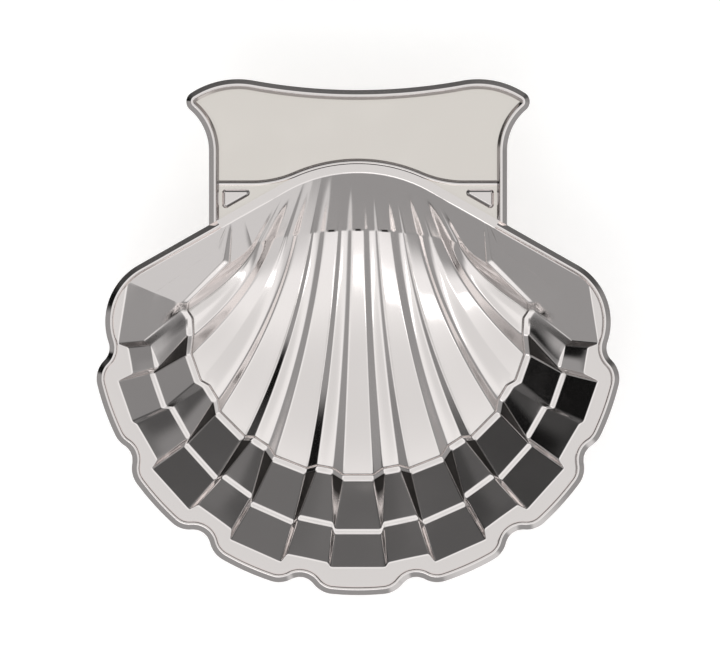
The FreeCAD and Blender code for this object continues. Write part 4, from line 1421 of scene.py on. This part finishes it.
class SHELL_OT_ball_feet(bpy.types.Operator):
    """Model the ball feet and the collars that join them to the bowl"""

    bl_idname = "shell.ball_feet"
    bl_label = "Ball Feet"

    def execute(self, context):
        foot = sizes_of("foot")
        bowl = bpy.data.objects["fluted_bowl"]
        for place in ("front_left", "front_right", "back"):
            low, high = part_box("foot_ball_" + place)
            middle = Vector(((low.x + high.x) / 2, (low.y + high.y) / 2, foot.ball_pad))
            start_piece()
            bpy.ops.mesh.primitive_uv_sphere_add(
                segments=48, ring_count=32, radius=foot.ball_radius, location=middle
            )
            settle()
            edit()
            for height, way in ((0.0, -UP), (high.z, UP)):
                cut(at_height(middle, height), way, clear_outer=True)
            close_mesh()
            ball = finish_piece("ball_" + place, "foot_ball_" + place, "foot_silver", smooth=30)
            # Tarnish with painted shade on the ball's top, under its collar.
            tarnish_and_shade(ball, SEAT_TARNISH_AND_SHADE, high.z, -foot.ball_radius / 2)
            self.collar(place, at_height(middle, high.z), bowl)
        return {"FINISHED"}

    def collar(self, place, seat, bowl):
        """A waisted collar whose upper rim is laid against the bowl's underside."""
        foot = sizes_of("foot")
        low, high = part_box("foot_collar_" + place)
        neck = math.sqrt(foot.ball_radius**2 - foot.ball_seat**2)
        lip = (high.x - low.x) / 2
        start_piece()
        bpy.ops.mesh.primitive_circle_add(
            vertices=64, radius=neck, location=seat, fill_type="NGON"
        )
        collar = settle()
        edit()
        rise = (high.z - seat.z) * COLLAR_TURNED
        for share_up, waist in COLLAR_RINGS:
            wide = neck + (lip - neck) * share_up * COLLAR_FLARE
            widen = wide / neck * waist
            extrude(UP * rise * share_up)
            bpy.ops.transform.resize(value=(widen, widen, 1), center_override=seat)
        leave_edit()
        group = collar.vertex_groups.new(name="rim")
        top = heights(collar).max()
        rim = [v.index for v in collar.data.vertices if v.co.z > top - MERGE]
        group.add(rim, 1.0, "REPLACE")
        apply_modifier(
            "SHRINKWRAP",
            target=bowl,
            wrap_method="PROJECT",
            vertex_group="rim",
            use_project_z=True,
            use_positive_direction=True,
        )
        edit()
        close_mesh()
        finish_piece("collar_" + place, "foot_collar_" + place, "foot_silver")


class SHELL_OT_stage(bpy.types.Operator):
    """Set up the floor, the tent's light and the camera"""

    bl_idname = "shell.stage"
    bl_label = "Stage"

    def execute(self, context):
        studio = context.scene.shell_studio_setup
        context.scene.view_settings.view_transform = "Standard"
        self.floor(studio)
        self.tent(studio)
        self.softbox(studio)
        self.camera(studio)
        return {"FINISHED"}

    def floor(self, studio):
        """A pale floor that keeps the shadow, lifted to white for the eye and in reflections."""
        start_piece()
        bpy.ops.mesh.primitive_plane_add(size=FLOOR_SIZE)
        floor = bpy.context.active_object
        floor.name = "floor"
        material, shader = new_material("pale_floor")
        diffuse = shader.node("ShaderNodeBsdfDiffuse", None, {"Color": opaque(studio.floor_colour)})
        seen = shader.node("ShaderNodeLightPath", output="Is Camera Ray")
        for ray in ("Is Glossy Ray", "Is Transmission Ray"):
            seen = seen + shader.node("ShaderNodeLightPath", output=ray)
        lift = shader.node("ShaderNodeEmission", None, {"Color": seen * FLOOR_LIFT})
        surface = shader.node("ShaderNodeAddShader", None, {0: diffuse, 1: lift})
        shader.node("ShaderNodeOutputMaterial", None, {"Surface": surface})
        floor.data.materials.append(material)

    def tent(self, studio):
        """A white tent as the world, with a dark skirt that only reflections show."""
        world = bpy.data.worlds.new("white_tent")
        world.use_nodes = True
        shader = Shader(world.node_tree)
        way = shader.node("ShaderNodeTexCoord", output="Generated")
        upward = shader.node("ShaderNodeSeparateXYZ", None, {0: way}, output="Z")
        roof = shader.step(upward, math.cos(ROOF_OUT), math.cos(ROOF_IN))
        room = studio.room_colour
        dim = [level * (1 - studio.roof_dim) for level in room]
        surface = shader.node("ShaderNodeBackground", None, {"Color": shader.mix(roof, room, dim)})
        shader.node("ShaderNodeOutputWorld", None, {"Surface": surface})
        bpy.context.scene.world = world
        start_piece()
        bpy.ops.mesh.primitive_cylinder_add(
            vertices=128,
            radius=studio.skirt_radius,
            depth=studio.skirt_height,
            end_fill_type="NOTHING",
            location=(0, 0, studio.skirt_height / 2),
        )
        skirt = settle()
        skirt.name = "tent_skirt"
        material, shader = new_material("dark_skirt")
        place = shader.node("ShaderNodeTexCoord", output="Object")
        in_plan, in_height = 1 / studio.skirt_radius, 1 / studio.skirt_height
        place = shader.stretched(place, (in_plan, in_plan, in_height))
        across, along, height = (
            shader.node("ShaderNodeSeparateXYZ", None, {0: place}, output=axis) for axis in "XYZ"
        )
        right = shader.step(across, *SKIRT_RIGHT)
        lit = shader.step(across, *SKIRT_LIT)
        back = shader.step(along, *SKIRT_BACK)
        side = shader.step(along, *SKIRT_SIDE)
        front_edges = (blend(*edge, right) for edge in (SKIRT_FRONT_FROM, SKIRT_FRONT_TO))
        front = shader.step(along, *front_edges)
        corner = shader.step(across, *SKIRT_CORNER_ACROSS) * shader.step(along, *SKIRT_CORNER_ALONG)
        foot_share = studio.skirt_foot / studio.skirt_height
        foot = shader.step(height, *(edge * foot_share for edge in SKIRT_FOOT))
        grey = blend(*GREY_BACK, back) * blend(*GREY_LIT, lit)
        grey = blend(grey, blend(*GREY_SIDES, right), side)
        grey = blend(grey, GREY_FRONT, front)
        grey = blend(grey, GREY_CORNER, corner) * blend(*GREY_FOOT, foot)
        left = shader.step(across, *SKIRT_LEFT) * front
        fade_edges = (blend(*edge, left) for edge in (SKIRT_FADE_FROM, SKIRT_FADE_TO))
        level = blend(grey, studio.room_colour[0], shader.step(height, *fade_edges))
        surface = shader.node("ShaderNodeEmission", None, {"Color": level})
        shader.node("ShaderNodeOutputMaterial", None, {"Surface": surface})
        skirt.data.materials.append(material)
        self.only_reflected(skirt)

    def only_reflected(self, piece):
        """Leaves a piece of the stage to reflections alone."""
        piece.visible_camera = False
        piece.visible_diffuse = False
        piece.visible_shadow = False

    def softbox(self, studio):
        start_piece()
        bpy.ops.object.light_add(type="AREA", location=SOFTBOX_PLACE)
        lamp = bpy.context.active_object
        lamp.name = "front_softbox"
        lamp.rotation_euler = (-lamp.location).to_track_quat("-Z", "Y").to_euler()
        lamp.data.size = SOFTBOX_SIZE
        lamp.data.energy = studio.lamp_power

    def camera(self, studio):
        height = FLANGE_TOP + studio.camera_height
        bpy.ops.object.camera_add(location=(studio.centre_x, studio.centre_y, height))
        camera = bpy.context.active_object
        camera.name = "overhead_camera"
        camera.data.sensor_width = SENSOR_WIDTH
        camera.data.lens = SENSOR_WIDTH * studio.camera_height / studio.frame_width
        camera.data.clip_end = CAMERA_SIGHT
        bpy.context.scene.camera = camera


class SHELL_PT_pieces(bpy.types.Panel):
    """Lists the shell's pieces"""

    bl_idname = "SHELL_PT_pieces"
    bl_label = "Baptismal Shell"
    bl_space_type = "VIEW_3D"
    bl_region_type = "UI"
    bl_category = "Shell"

    def draw(self, context):
        for operator in PIECES:
            self.layout.operator(operator.bl_idname)


GROUPS = {
    "shell_bowl_sizes": BowlSizes,
    "shell_wire_sizes": WireSizes,
    "shell_handle_sizes": HandleSizes,
    "shell_foot_sizes": FootSizes,
    "shell_silver_finish": SilverFinish,
    "shell_studio_setup": StudioSetup,
}
PIECES = (
    SHELL_OT_bowl,
    SHELL_OT_rim_wire,
    SHELL_OT_handle_plate,
    SHELL_OT_handle_border,
    SHELL_OT_brow_wire,
    SHELL_OT_ear_drops,
    SHELL_OT_ball_feet,
    SHELL_OT_stage,
)
CLASSES = (*GROUPS.values(), *PIECES, SHELL_PT_pieces)


def register():
    for item in CLASSES:
        bpy.utils.register_class(item)
    for name, group in GROUPS.items():
        setattr(bpy.types.Scene, name, PointerProperty(type=group))


def unregister():
    for name in GROUPS:
        delattr(bpy.types.Scene, name)
    for item in reversed(CLASSES):
        bpy.utils.unregister_class(item)


def main():
    register()
    bpy.ops.shell.bowl()
    bpy.ops.shell.rim_wire()
    bpy.ops.shell.handle_plate()
    bpy.ops.shell.handle_border()
    bpy.ops.shell.brow_wire()
    bpy.ops.shell.ear_drops()
    bpy.ops.shell.ball_feet()
    bpy.ops.shell.stage()


if __name__ == "__main__":
    main()
